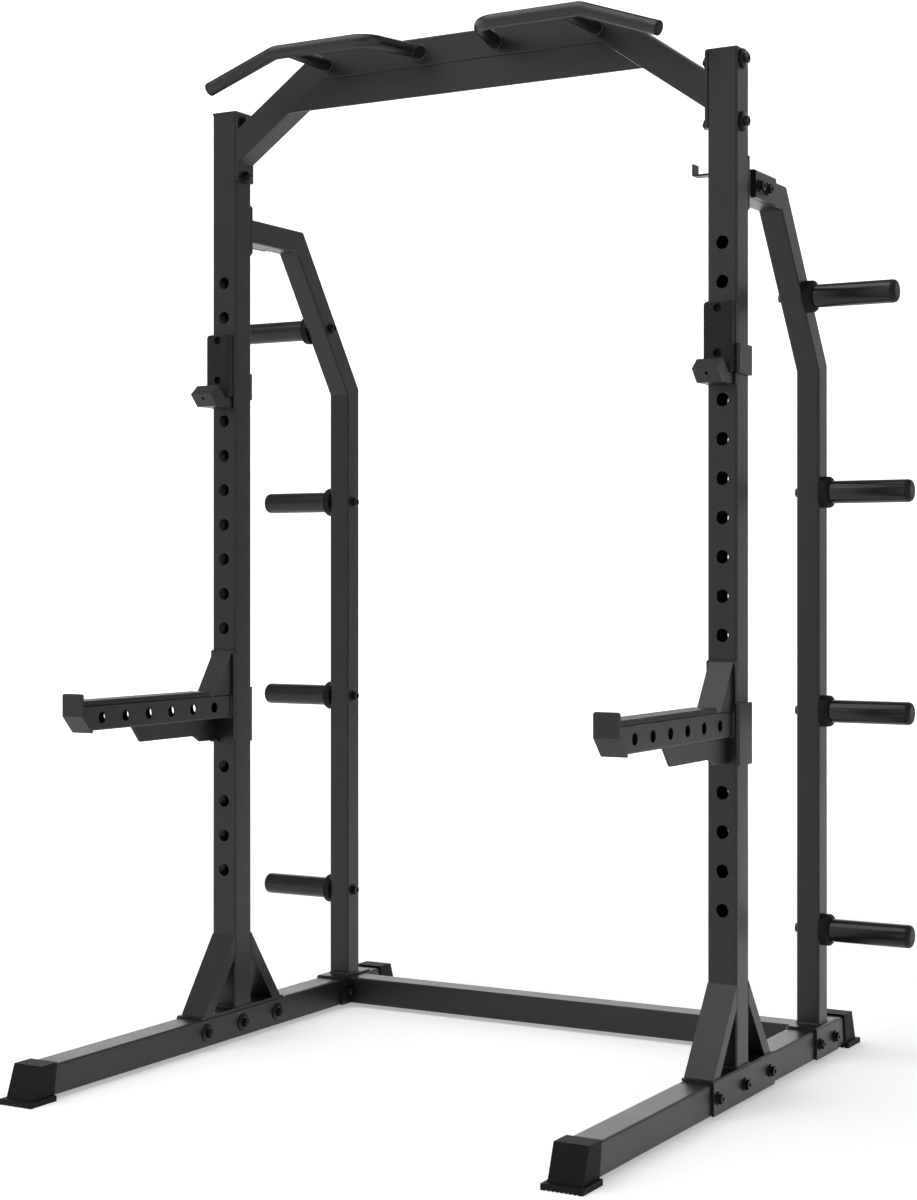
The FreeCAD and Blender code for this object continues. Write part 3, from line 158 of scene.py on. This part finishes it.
# %% Rubber, plastic and bolt steel
def moulded_rubber(name, colour, roughness):
    """Dull rubber with a fine mould texture and faint mottling."""
    finish, tree, shader = new_finish(name, colour, roughness, specular=0.15)
    position = place_on_object(tree)
    mottle = add_node(tree, "ShaderNodeTexNoise", Scale=60.0, Detail=5.0)
    grit = add_node(tree, "ShaderNodeTexNoise", Scale=2200.0, Detail=2.0)
    for noise in (mottle, grit):
        tree.links.new(position, noise.inputs["Vector"])
    shade = colour_from(tree, mottle.outputs["Fac"], [(0.3, tuple(0.8 * c for c in colour)),
                                                      (0.7, tuple(1.25 * c for c in colour))])
    tree.links.new(shade, shader.inputs["Base Color"])
    bump_from(tree, shader, grit.outputs["Fac"], 0.00015)
    return finish


def grained_plastic(name, colour, roughness):
    """Moulded plastic with a pebbled grain."""
    finish, tree, shader = new_finish(name, colour, roughness, specular=0.22)
    position = place_on_object(tree)
    pebbles = add_node(tree, "ShaderNodeTexVoronoi", Scale=900.0, Randomness=1.0)
    wear = add_node(tree, "ShaderNodeTexNoise", Scale=40.0, Detail=4.0)
    for pattern in (pebbles, wear):
        tree.links.new(position, pattern.inputs["Vector"])
    shade = colour_from(tree, wear.outputs["Fac"], [(0.35, tuple(0.85 * c for c in colour)),
                                                    (0.65, tuple(1.2 * c for c in colour))])
    tree.links.new(shade, shader.inputs["Base Color"])
    sheen = range_from(tree, wear.outputs["Fac"], roughness - 0.06, roughness + 0.08)
    tree.links.new(sheen, shader.inputs["Roughness"])
    bump_from(tree, shader, pebbles.outputs["Distance"], 0.00018)
    return finish


def oiled_steel(name, colour, roughness, specular=0.35):
    """Black bolt steel with faint brushed streaks."""
    finish, tree, shader = new_finish(name, colour, roughness, specular=specular, metallic=0.1)
    position = place_on_object(tree, (40.0, 600.0, 600.0))
    streaks = add_node(tree, "ShaderNodeTexNoise", Scale=1.0, Detail=3.0)
    tree.links.new(position, streaks.inputs["Vector"])
    sheen = range_from(tree, streaks.outputs["Fac"], roughness - 0.1, roughness + 0.1)
    tree.links.new(sheen, shader.inputs["Roughness"])
    bump_from(tree, shader, streaks.outputs["Fac"], 0.00003)
    return finish


rubber = moulded_rubber("moulded_rubber", (0.004, 0.004, 0.004), 0.60)
plastic = grained_plastic("grained_plastic", (0.0055, 0.0055, 0.0058), 0.44)
bolt_steel = oiled_steel("bolt_steel", (0.0012, 0.0012, 0.0014), 0.30)
screw_steel = oiled_steel("screw_steel", (0.0006, 0.0006, 0.0007), 0.42, 0.12)

# %% [markdown]
# ## Dress the solids
# Each solid keeps its shape and only receives its finish.  The list follows the trades: what
# is sprayed, what is moulded, what is bought as a fastener.

# %% Finishes on the solids
FINISH_OF = {
    "foot_front": rubber, "foot_rear": rubber, "peg_collars": rubber,
    "hook_pad": plastic, "arm_pad": plastic, "peg_caps": plastic, "handle_caps": plastic,
    "bracket_bolts": bolt_steel, "beam_bolts": bolt_steel, "clamp_bolts": bolt_steel,
    "peg_bolts": bolt_steel, "hook_screws": screw_steel,
    "storage_pegs": peg_coat, "hook_pin": pin_coat, "arm_pin": pin_coat,
}


def dress(solid):
    """Put the finish of its trade on a solid."""
    trade = solid.name.removesuffix("_right").removesuffix("_left")
    solid.data.materials.clear()
    solid.data.materials.append(FINISH_OF.get(trade, coat))


for solid in nodes.values():
    dress(solid)
print("sprayed:", sum(s.data.materials[0] == coat for s in nodes.values()), "of", len(nodes))

# %% [markdown]
# ## Surfaces from arrays
# The pieces that follow are surfaces worked out with numpy: a grid of points, one row after
# another, turned into quads.  Several small surfaces can be joined into one mesh, which keeps
# a set of bolts together as one object.


# %% Helpers for surfaces
def grid_faces(rows, columns, wrap_columns=False):
    """Quads of a grid of points, as indices; wrapped columns join their end to their start."""
    column = np.arange(columns if wrap_columns else columns - 1)
    i, j = np.meshgrid(np.arange(rows - 1), column, indexing="ij")
    following = (j + 1) % columns
    quads = [i * columns + j, (i + 1) * columns + j, (i + 1) * columns + following, i * columns + following]
    return np.stack(quads, axis=-1).reshape(-1, 4)


def put_mesh(name, surfaces, finish=None, smooth=True):
    """One object at the origin from (points, faces) surfaces; points that coincide are merged."""
    points, faces, start = [], [], 0
    for surface_points, surface_faces in surfaces:
        flat = surface_points.reshape(-1, 3)
        points.append(flat)
        faces.append(surface_faces + start)
        start += len(flat)
    mesh = bpy.data.meshes.new(name)
    mesh.from_pydata(np.concatenate(points).tolist(), [], np.concatenate(faces).tolist())
    made = bpy.data.objects.new(name, mesh)
    bpy.context.scene.collection.objects.link(made)
    work = bmesh.new()
    work.from_mesh(mesh)
    bmesh.ops.remove_doubles(work, verts=work.verts, dist=2e-6)
    bmesh.ops.dissolve_degenerate(work, edges=work.edges, dist=1e-7)
    work.to_mesh(mesh)
    work.free()
    mesh.polygons.foreach_set("use_smooth", np.full(len(mesh.polygons), smooth))
    mesh.update()
    if finish:
        mesh.materials.append(finish)
    return made


def shade_by_angle(piece, degrees):
    """Soft shading that breaks at edges sharper than the given angle."""
    piece.data.set_sharp_from_angle(angle=math.radians(degrees))


# %% [markdown]
# ## Places read from the solids
# Every grip, bolt and bead sits on a solid, so its place is read from that solid's box.  Only
# the distances that no box shows, such as the gap between two bolts, are written out below.
# The rack is the same on both sides, so the right side is read and the left side mirrors it.


# %% Places read from the solids
def span(node):
    """Lowest corner, middle and highest corner of a solid's box at rest, as arrays."""
    low, high = (np.array(corner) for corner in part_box(node))
    return low, (low + high) / 2, high


upright_low, upright_mid, upright_high = span("upright_right")
post_low, post_mid, post_high = span("rear_post_right")
slant_low, _, _ = span("rear_slant_right")
rail_mid = span("base_rail_right")[1]
beam_mid = span("beam_tube")[1]
print("upright stands at", upright_mid[:2].round(4), "and the rear post at", post_mid[:2].round(4))


# %% [markdown]
# ## Knurled grips
# The pull-up handles are one bent tube each, rolled between hardened wheels that press a
# diamond pattern into the steel.  A tube carried along a path gives the bends; the pattern is
# pressed into its radius.  The path is four corners whose bends are rounded to one radius,
# sampled finely enough that each diamond has its own four faces each way.


# %% Knurled grips
def rounded_path(corners, radius, step):
    """Straight runs joined by arcs of one radius: each arc starts where the distance to the corner
    is the radius times the tangent of half the turn.  Returns points and unit headings."""
    corners = np.array(corners, dtype=float)
    runs = np.diff(corners, axis=0)
    ways = runs / np.linalg.norm(runs, axis=1)[:, None]
    points, headings, start = [], [], corners[0]
    for corner, arriving, leaving in zip(corners[1:-1], ways, ways[1:]):
        turn = math.acos(arriving @ leaving)
        cut = radius * math.tan(turn / 2)
        stop = corner - cut * arriving
        share = np.arange(0, 1, step / np.linalg.norm(stop - start))[:, None]
        points.append(start + share * (stop - start))
        headings.append(np.tile(arriving, (len(share), 1)))
        angle = np.arange(0, turn, step / radius)[:, None]
        inward = (leaving - math.cos(turn) * arriving) / math.sin(turn)
        points.append(stop + radius * (np.sin(angle) * arriving + (1 - np.cos(angle)) * inward))
        headings.append(np.cos(angle) * arriving + np.sin(angle) * inward)
        start = corner + cut * leaving
    share = np.linspace(0, 1, int(np.linalg.norm(corners[-1] - start) / step))[:, None]
    points.append(start + share * (corners[-1] - start))
    headings.append(np.tile(ways[-1], (len(share), 1)))
    return np.concatenate(points), np.concatenate(headings)


def knurled_tube(path, headings, radius, diamonds, depth):
    """A circle carried along the path.  Its radius loses the depth times one minus the size of the
    product of two sine waves that climb the tube in opposite helices, which leaves diamonds standing.
    The root, inside the beam, and the end under the cap stay plain."""
    aside = np.cross(headings, (0.0, 0.0, 1.0))
    aside /= np.linalg.norm(aside, axis=1)[:, None]
    above = np.cross(aside, headings)
    steps = np.linalg.norm(np.diff(path, axis=0), axis=1)
    distance = np.concatenate([[0.0], np.cumsum(steps)])
    around = np.linspace(0, 2 * math.pi, diamonds * 4, endpoint=False)
    s, a = np.meshgrid(distance, around, indexing="ij")
    climb = diamonds * s / (2 * radius)
    pattern = np.abs(np.sin(diamonds * a / 2 + climb) * np.sin(diamonds * a / 2 - climb))
    plain = (s < PLAIN_ROOT) | (s > distance[-1] - PLAIN_END)
    r = np.where(plain, radius, radius - depth * (1 - pattern))
    r[0] = r[-1] = 0.0
    ring = np.cos(a)[..., None] * aside[:, None] + np.sin(a)[..., None] * above[:, None]
    points = path[:, None] + r[..., None] * ring
    return points, grid_faces(*s.shape, wrap_columns=True)


GRIP_RADIUS, GRIP_BEND = 0.0145, 0.048
GRIP_STEP, GRIP_DIAMONDS, KNURL_DEPTH = 0.00095, 24, 0.0009
PLAIN_ROOT, PLAIN_END = 0.05, 0.012
GRIP_Z, GRIP_REACH = beam_mid[2], -0.145
GRIP_CORNERS = np.array([(0.0826, 0.0194, GRIP_Z), (0.128, GRIP_REACH, GRIP_Z),
                         (0.350, GRIP_REACH, GRIP_Z), (0.512, GRIP_REACH, GRIP_Z - 0.057)])
for side, sign in (("right", 1), ("left", -1)):
    corners = GRIP_CORNERS * (sign, 1, 1)
    path, headings = rounded_path(corners, GRIP_BEND, GRIP_STEP)
    path = np.concatenate([path[:1], path, path[-1:]])
    headings = np.concatenate([headings[:1], headings, headings[-1:]])
    knurled = knurled_tube(path, headings, GRIP_RADIUS, GRIP_DIAMONDS, KNURL_DEPTH)
    grip = put_mesh(f"knurled_grip_{side}", [knurled], grip_coat)
    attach(grip, "frame")
    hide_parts(f"handle_{side}")
    print(grip.name, "has", len(grip.data.polygons), "faces")

# %% [markdown]
# ## Bolts, nuts and washers
# A forged bolt head is a hexagon whose top corners are turned away by a cone, so its top face
# is round.  One turned surface does it: the radius runs along the hexagon, and the height of
# the shoulder falls where the hexagon reaches further out than the cone.


# %% Bolts, nuts and washers
def turned(profile, place, sign, columns=48):
    """A profile of (radius, height) rows turned about an axis along X that points to sign; a radius
    or height may itself be an array round the turn."""
    around = np.linspace(0, 2 * math.pi, columns, endpoint=False)
    radius = np.array([np.broadcast_to(r, columns) for r, _ in profile])
    height = np.array([np.broadcast_to(h, columns) for _, h in profile])
    x = place[0] + sign * height
    y = place[1] + sign * radius * np.cos(around)
    z = place[2] + radius * np.sin(around)
    points = np.stack([x, y, z], axis=-1)
    return points, grid_faces(*radius.shape, wrap_columns=True)


HEX_CORNER, HEAD_HEIGHT, NUT_HEIGHT = 0.0104, 0.0075, 0.0100
HEAD_BORE, NUT_BORE = 0.0045, 0.0062
SMALL_DISC, LARGE_DISC = 0.013, 0.019
DISC_SHEET, PLATE_SHEET = 0.0025, 0.0050
THREAD_ROOT, THREAD_CREST, THREAD_TIP = 0.0053, 0.0060, 0.0045
THREAD_START, THREAD_LENGTH = 0.0085, 0.0070
CROWN_SHARE, CONE_ANGLE = 0.82, math.radians(30)


def hexagon_reach(corner, columns=48):
    """Distance from the middle to the side of a hexagon: the flat's distance over the cosine of the
    angle from the middle of the nearest flat."""
    around = np.linspace(0, 2 * math.pi, columns, endpoint=False)
    return corner * math.cos(math.pi / 6) / np.cos(around % (math.pi / 3) - math.pi / 6)


def hex_head(place, sign, corner, height, bore):
    """Hexagon with its top corners turned away by a cone, and a round recess in its top face."""
    reach = hexagon_reach(corner)
    crown = corner * CROWN_SHARE
    shoulder = height - (reach - crown) * math.tan(CONE_ANGLE)
    floor = height * 0.6
    rows = [(0.0, 0.0), (reach, 0.0), (reach, shoulder), (crown, height), (bore, height),
            (bore * 0.9, floor), (0.0, floor)]
    return turned(rows, place, sign)


def washer(place, sign, radius, thickness):
    """Flat ring with a stamped edge: rounded on the side that faces out."""
    edge = thickness * 0.35
    rows = [(0.0, 0.0), (radius, 0.0), (radius, thickness - edge),
            (radius - edge * 0.4, thickness - edge * 0.3), (radius - edge * 1.3, thickness),
            (0.0, thickness)]
    return turned(rows, place, sign)


def thread_end(place, sign, length):
    """Cut thread of a bolt: three ridges and a chamfered end."""
    rows = [(0.0, 0.0)]
    for ridge in range(3):
        at = length * ridge / 4
        rows += [(THREAD_ROOT, at), (THREAD_CREST, at + length / 8)]
    rows += [(THREAD_ROOT, length * 0.8), (THREAD_TIP, length), (0.0, length)]
    return turned(rows, place, sign)


def bolted(x, y, z, sign, disc=SMALL_DISC, sheet=DISC_SHEET):
    """Head side of a bolt: a washer and a hexagon head standing on the face at x."""
    return [washer((x, y, z), sign, disc, sheet),
            hex_head((x + sign * sheet, y, z), sign, HEX_CORNER, HEAD_HEIGHT, HEAD_BORE)]


def nutted(x, y, z, sign, disc=SMALL_DISC):
    """Nut side of a bolt: washer, nut and the thread that stands through it."""
    return [washer((x, y, z), sign, disc, DISC_SHEET),
            hex_head((x + sign * DISC_SHEET, y, z), sign, HEX_CORNER, NUT_HEIGHT, NUT_BORE),
            thread_end((x + sign * THREAD_START, y, z), sign, THREAD_LENGTH)]


# %% [markdown]
# The heads stand on the outermost plate and the nuts on the innermost one.  Pegs and clamps
# show a head only: the peg's bolt screws into the peg, and the clamp's nut is inside the tube.

# %% Sets of bolts
BRACKET_BOLT_GAP, REAR_BOLT_HALF_GAP, CROSS_PLATE = 0.132, 0.044, 0.005
BEAM_BOLT_TOP, BEAM_BOLT_GAP = 0.019, 0.120
CLAMP_BOLTS = (0.020, 0.062)
PEG_HEIGHTS, TOP_PEG_HEIGHT = (0.270, 0.728, 1.186), 1.585
SLANT_ANGLE = math.radians(35)

bracket_outer = span("upright_bracket_right")[2][0]
plate_low, _, plate_high = span("beam_end_plate_right")
clamp_low, _, clamp_high = span("top_clamp_right")
clamp_z = span("rear_top_right")[1][2]
beam_bolt_z = plate_high[2] - BEAM_BOLT_TOP
bend_z = (post_high[2] + slant_low[2]) / 2
pegs = [(post_mid[1], z) for z in PEG_HEIGHTS]
pegs.append((post_mid[1] - (TOP_PEG_HEIGHT - bend_z) * math.tan(SLANT_ANGLE), TOP_PEG_HEIGHT))

bracket_set, beam_set, peg_set, clamp_set = [], [], [], []
for sign in (1, -1):
    for step in (-1, 0, 1):
        y = upright_mid[1] + step * BRACKET_BOLT_GAP
        bracket_set += bolted(bracket_outer * sign, y, rail_mid[2], sign)
        bracket_set += nutted(upright_low[0] * sign, y, rail_mid[2], -sign, LARGE_DISC)
    for step in (-1, 1):
        y = post_mid[1] + step * REAR_BOLT_HALF_GAP
        bracket_set += bolted(bracket_outer * sign, y, rail_mid[2], sign)
        bracket_set += nutted((upright_low[0] - CROSS_PLATE) * sign, y, rail_mid[2], -sign)
    for z in (beam_bolt_z, beam_bolt_z - BEAM_BOLT_GAP):
        beam_set += bolted(upright_high[0] * sign, upright_mid[1], z, sign, LARGE_DISC, PLATE_SHEET)
        beam_set += nutted(plate_low[0] * sign, upright_mid[1], z, -sign)
    for behind in CLAMP_BOLTS:
        clamp_set += bolted(clamp_high[0] * sign, clamp_low[1] + behind, clamp_z, sign)
    for y, z in pegs:
        peg_set += bolted(post_low[0] * sign, y, z, -sign)
for node, made_set in (("bracket_bolts", bracket_set), ("beam_bolts", beam_set),
                       ("clamp_bolts", clamp_set), ("peg_bolts", peg_set)):
    hardware = put_mesh(f"{node}_forged", made_set, bolt_steel)
    shade_by_angle(hardware, 28)
    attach(hardware, "frame")
    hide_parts(node)
    print(hardware.name, "has", len(hardware.data.polygons), "faces")

# %% [markdown]
# ## Weld beads
# Tubes are joined to plates by a bead that the welder lays in small overlapping pools.  The
# bead is a quarter round carried along the joint, swollen once for every pool.


# %% Weld beads
def round_square(half, corner, step):
    """Points and outward normals round a square with rounded corners, evenly spaced along its length:
    four quarter circles joined by straight lines, then resampled by distance."""
    quarter = np.linspace(0, math.pi / 2, 7)
    angle = np.concatenate([quarter + k * math.pi / 2 for k in range(4)])
    centre_u = np.repeat([1, -1, -1, 1], 7) * (half - corner)
    centre_v = np.repeat([1, 1, -1, -1], 7) * (half - corner)
    u = centre_u + corner * np.cos(angle)
    v = centre_v + corner * np.sin(angle)
    u, v, angle = (np.append(row, row[0]) for row in (u, v, angle))
    angle[-1] = 2 * math.pi
    reach = np.concatenate([[0.0], np.cumsum(np.hypot(np.diff(u), np.diff(v)))])
    s = np.arange(0, reach[-1], reach[-1] / round(reach[-1] / step))
    a = np.interp(s, reach, angle)
    return np.interp(s, reach, u), np.interp(s, reach, v), np.cos(a), np.sin(a), s


POOL_SWELL, BEAD_SINK = 0.16, 0.0006


def bead(outline, place, across, along, rise, size, pool=0.0042):
    """A quarter circle at each point of the outline, from the plate to the tube, its size swollen by
    up to the pool's swell as the absolute sine of the distance laid; it dips a little under both
    surfaces."""
    u, v, nu, nv, s = outline
    across, along, rise = (np.array(direction, dtype=float) for direction in (across, along, rise))
    line = np.array(place) + u[:, None] * across + v[:, None] * along
    out = nu[:, None] * across + nv[:, None] * along
    swell = size * (1 + POOL_SWELL * np.abs(np.sin(math.pi * s / pool)))
    angle = np.linspace(-0.35, math.pi / 2 + 0.35, 8)
    ring = (np.cos(angle)[:, None, None] * out + np.sin(angle)[:, None, None] * rise) * swell[None, :, None]
    points = line[None] - BEAD_SINK * (out + rise)[None] + ring
    closed = np.concatenate([points, points[:1]])
    return closed, grid_faces(closed.shape[0], closed.shape[1], wrap_columns=True)


def round_outline(radius, stretch, step):
    """A circle drawn out along its first direction, with its normals and the distance round it."""
    count = round(2 * math.pi * radius / step)
    angle = np.linspace(0, 2 * math.pi, count, endpoint=False)
    along_u, along_v = np.cos(angle), np.sin(angle)
    return radius * stretch * along_u, radius * along_v, along_u, along_v, angle * radius


X, Y, Z, FORWARD = (1, 0, 0), (0, 1, 0), (0, 0, 1), (0, -1, 0)
TUBE_CORNER, BEAD_STEP, RING_STEP = 0.004, 0.0010, 0.0008
STUB_RADIUS, STUB_X, GRIP_ROOT_X = 0.0135, 0.315, 0.088
GRIP_STRETCH = 1.037
upright_outline = round_square(0.030, TUBE_CORNER, BEAD_STEP)
post_outline = round_square(0.025, TUBE_CORNER, BEAD_STEP)
grip_outline = round_outline(GRIP_RADIUS, GRIP_STRETCH, RING_STEP)
stub_outline = round_outline(STUB_RADIUS, 1.0, RING_STEP)
_, arm_mid, arm_root = span("arm_tube_right")
frame_beads = []
for sign in (1, -1):
    x = upright_mid[0] * sign
    frame_beads.append(bead(upright_outline, (x, upright_mid[1], upright_low[2]), X, Y, Z, 0.0035))
    frame_beads.append(bead(post_outline, (x, post_mid[1], post_low[2]), X, Y, Z, 0.0032))
    frame_beads.append(bead(grip_outline, (GRIP_ROOT_X * sign, 0.0, GRIP_Z), X, Z, FORWARD, 0.0026))
    frame_beads.append(bead(stub_outline, (STUB_X * sign, 0.0, GRIP_Z), X, Z, FORWARD, 0.0026))
beads = put_mesh("frame_weld_beads", frame_beads, coat)
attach(beads, "frame")
for side, sign in (("right", 1), ("left", -1)):
    root = (arm_mid[0] * sign, arm_root[1], arm_mid[2])
    arm_bead = put_mesh(f"arm_weld_bead_{side}", [bead(post_outline, root, X, Z, FORWARD, 0.0030)], coat)
    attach(arm_bead, f"safety_arm_{side}")
print("weld beads:", len(beads.data.polygons), "faces on the frame")

# %% [markdown]
# ## Hole numbers
# Small numbers beside the adjustment holes let both hooks be hung at the same height.  They
# are printed in a grey a little lighter than the coat.  Each number is typed, made a mesh,
# turned to lie on the inner face of its upright, and the row becomes one piece.

# %% Hole numbers
print_grey, _, _ = new_finish("printed_numbers", (0.055, 0.055, 0.056), 0.55, specular=0.3)


DIGIT_SHARE = 0.72


def typed_number(text, height):
    """Flat mesh of a typed number centred on the origin: corners (n, 2) and its faces.  A digit of
    the font fills only a share of its size."""
    typed = bpy.data.curves.new("typed_number", "FONT")
    typed.body = text
    typed.size = height / DIGIT_SHARE
    typed.align_x = "CENTER"
    typed.resolution_u = 4
    holder = bpy.data.objects.new("typed_number", typed)
    bpy.context.scene.collection.objects.link(holder)
    flat = bpy.data.meshes.new_from_object(holder.evaluated_get(bpy.context.evaluated_depsgraph_get()))
    corners = np.empty(len(flat.vertices) * 3)
    flat.vertices.foreach_get("co", corners)
    faces = [tuple(face.vertices) for face in flat.polygons]
    bpy.data.objects.remove(holder)
    bpy.data.curves.remove(typed)
    bpy.data.meshes.remove(flat)
    corners = corners.reshape(-1, 3)[:, :2]
    return corners - (corners.max(axis=0) + corners.min(axis=0)) / 2, faces


HOLES, TOP_HOLE_Z, HOLE_GAP = 18, 1.647, 0.075
NUMBER_HEIGHT, NUMBER_Y, INK_THICKNESS = 0.012, 0.0415, 0.00015
for side, sign in (("right", 1), ("left", -1)):
    points, faces, start = [], [], 0
    for hole in range(HOLES):
        corners, own_faces = typed_number(str(hole + 1), NUMBER_HEIGHT)
        x = np.full(len(corners), (upright_low[0] - INK_THICKNESS) * sign)
        y = NUMBER_Y - sign * corners[:, 0]
        z = TOP_HOLE_Z - HOLE_GAP * hole + corners[:, 1]
        points.append(np.stack([x, y, z], axis=-1))
        faces += [tuple(index + start for index in face) for face in own_faces]
        start += len(corners)
    mesh = bpy.data.meshes.new(f"hole_numbers_{side}")
    mesh.from_pydata(np.concatenate(points).tolist(), [], faces)
    mesh.materials.append(print_grey)
    numbers = bpy.data.objects.new(f"hole_numbers_{side}", mesh)
    bpy.context.scene.collection.objects.link(numbers)
    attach(numbers, "frame")
    print(numbers.name, "has", len(faces), "faces")

# %% [markdown]
# ## Floor, light and camera
# The rack stands on a pale floor that curves up all round into a pale wall, so that no horizon
# line crosses behind the thin tubes from any side.  Black steel shows mostly what it reflects,
# so the paper glows a little, less under the rack than further out, and it is dimmer behind the
# right side and in front: those parts are mirrored by the faces that the camera sees.  Two big
# soft lights do the rest.


# %% Studio
def studio_bowl(radius, height, bend, columns=96):
    """Floor, quarter-circle bend and wall, turned about the upright axis: the profile runs out at
    height 0, turns up along a circle of radius bend, then rises."""
    angle = np.linspace(0, math.pi / 2, 16)
    reach = np.concatenate([[0.0], radius - bend + bend * np.sin(angle), [radius]])
    rise = np.concatenate([[0.0], bend - bend * np.cos(angle), [height]])
    around = np.linspace(0, 2 * math.pi, columns, endpoint=False)
    r, a = np.meshgrid(reach, around, indexing="ij")
    z = np.repeat(rise[:, None], columns, axis=1)
    points = np.stack([r * np.cos(a), r * np.sin(a), z], axis=-1)
    return put_mesh("studio_bowl", [(points, grid_faces(*r.shape, wrap_columns=True))])


def fade(tree, value, start, end):
    """0 before start, 1 after end, smooth between."""
    limits = {"From Min": start, "From Max": end}
    ramp = add_node(tree, "ShaderNodeMapRange", interpolation_type="SMOOTHSTEP", **limits)
    tree.links.new(value, ramp.inputs["Value"])
    return ramp.outputs["Result"]


def joined(tree, operation, first, second):
    """One number from two, by a Math node."""
    node = add_node(tree, "ShaderNodeMath", operation=operation)
    tree.links.new(first, node.inputs[0])
    tree.links.new(second, node.inputs[1])
    return node.outputs["Value"]


bowl = studio_bowl(12.0, 9.0, 3.0)
paper, paper_tree, paper_shader = new_finish("studio_paper", (0.9, 0.9, 0.9), 0.9, specular=0.0)
paper_shader.inputs["Emission Color"].default_value = (1.0, 1.0, 1.0, 1.0)
paper_position = place_on_object(paper_tree)
paper_place = add_node(paper_tree, "ShaderNodeSeparateXYZ")
paper_reach = add_node(paper_tree, "ShaderNodeVectorMath", operation="LENGTH")
paper_tree.links.new(paper_position, paper_place.inputs["Vector"])
paper_tree.links.new(paper_position, paper_reach.inputs[0])
behind_right = joined(paper_tree, "MULTIPLY", fade(paper_tree, paper_place.outputs["X"], 1.6, 4.2),
                      fade(paper_tree, paper_place.outputs["Y"], -1.5, 1.5))
in_front = fade(paper_tree, paper_place.outputs["Y"], -4.5, -9.0)
dimmed = joined(paper_tree, "MAXIMUM", behind_right, in_front)
paper_shade = colour_from(paper_tree, dimmed, [(0.0, (0.90, 0.90, 0.90)), (1.0, (0.50, 0.50, 0.50))])
paper_tree.links.new(paper_shade, paper_shader.inputs["Base Color"])
glow = range_from(paper_tree, fade(paper_tree, paper_reach.outputs["Value"], 2.0, 7.0), 0.36, 0.68)
glow = joined(paper_tree, "MULTIPLY", glow, range_from(paper_tree, dimmed, 1.0, 0.15))
paper_tree.links.new(glow, paper_shader.inputs["Emission Strength"])
bowl.data.materials.append(paper)


def area_light(name, place, aim, size, power):
    """A square soft light at place, turned to face aim."""
    lamp = bpy.data.lights.new(name, "AREA")
    lamp.shape = "SQUARE"
    lamp.size = size
    lamp.energy = power
    made = bpy.data.objects.new(name, lamp)
    from_aim = np.array(place) - np.array(aim)
    made.location = place
    flat = math.hypot(from_aim[0], from_aim[1])
    made.rotation_euler = (math.atan2(flat, from_aim[2]), 0.0, math.atan2(from_aim[0], -from_aim[1]))
    bpy.context.scene.collection.objects.link(made)
    return made


area_light("front_left_box", (-2.2, -6.4, 3.0), (0, 0, 1.0), 5.0, 62)
area_light("overhead", (-0.8, -1.6, 5.0), (0, 0, 0.4), 4.0, 110)

world = bpy.data.worlds.new("studio_air")
world.use_nodes = True
world.node_tree.nodes["Background"].inputs["Color"].default_value = (1, 1, 1, 1)
world.node_tree.nodes["Background"].inputs["Strength"].default_value = 0.30
bpy.context.scene.world = world
bpy.context.scene.view_settings.view_transform = "Standard"

# %% [markdown]
# The camera stands to the right of the rack at chest height with its back upright, as a
# product photographer sets a shift lens, so that the uprights stay parallel.

# %% Camera
lens = bpy.data.cameras.new("product_camera")
lens.lens = 65.375
lens.sensor_width = 36.0
lens.shift_x = 0.01958
lens.shift_y = -0.01896
camera = bpy.data.objects.new("product_camera", lens)
camera.location = (2.18466, -3.87288, 1.008)
camera.rotation_euler = (math.pi / 2, 0.0, math.radians(30.0))
bpy.context.scene.collection.objects.link(camera)
bpy.context.scene.camera = camera
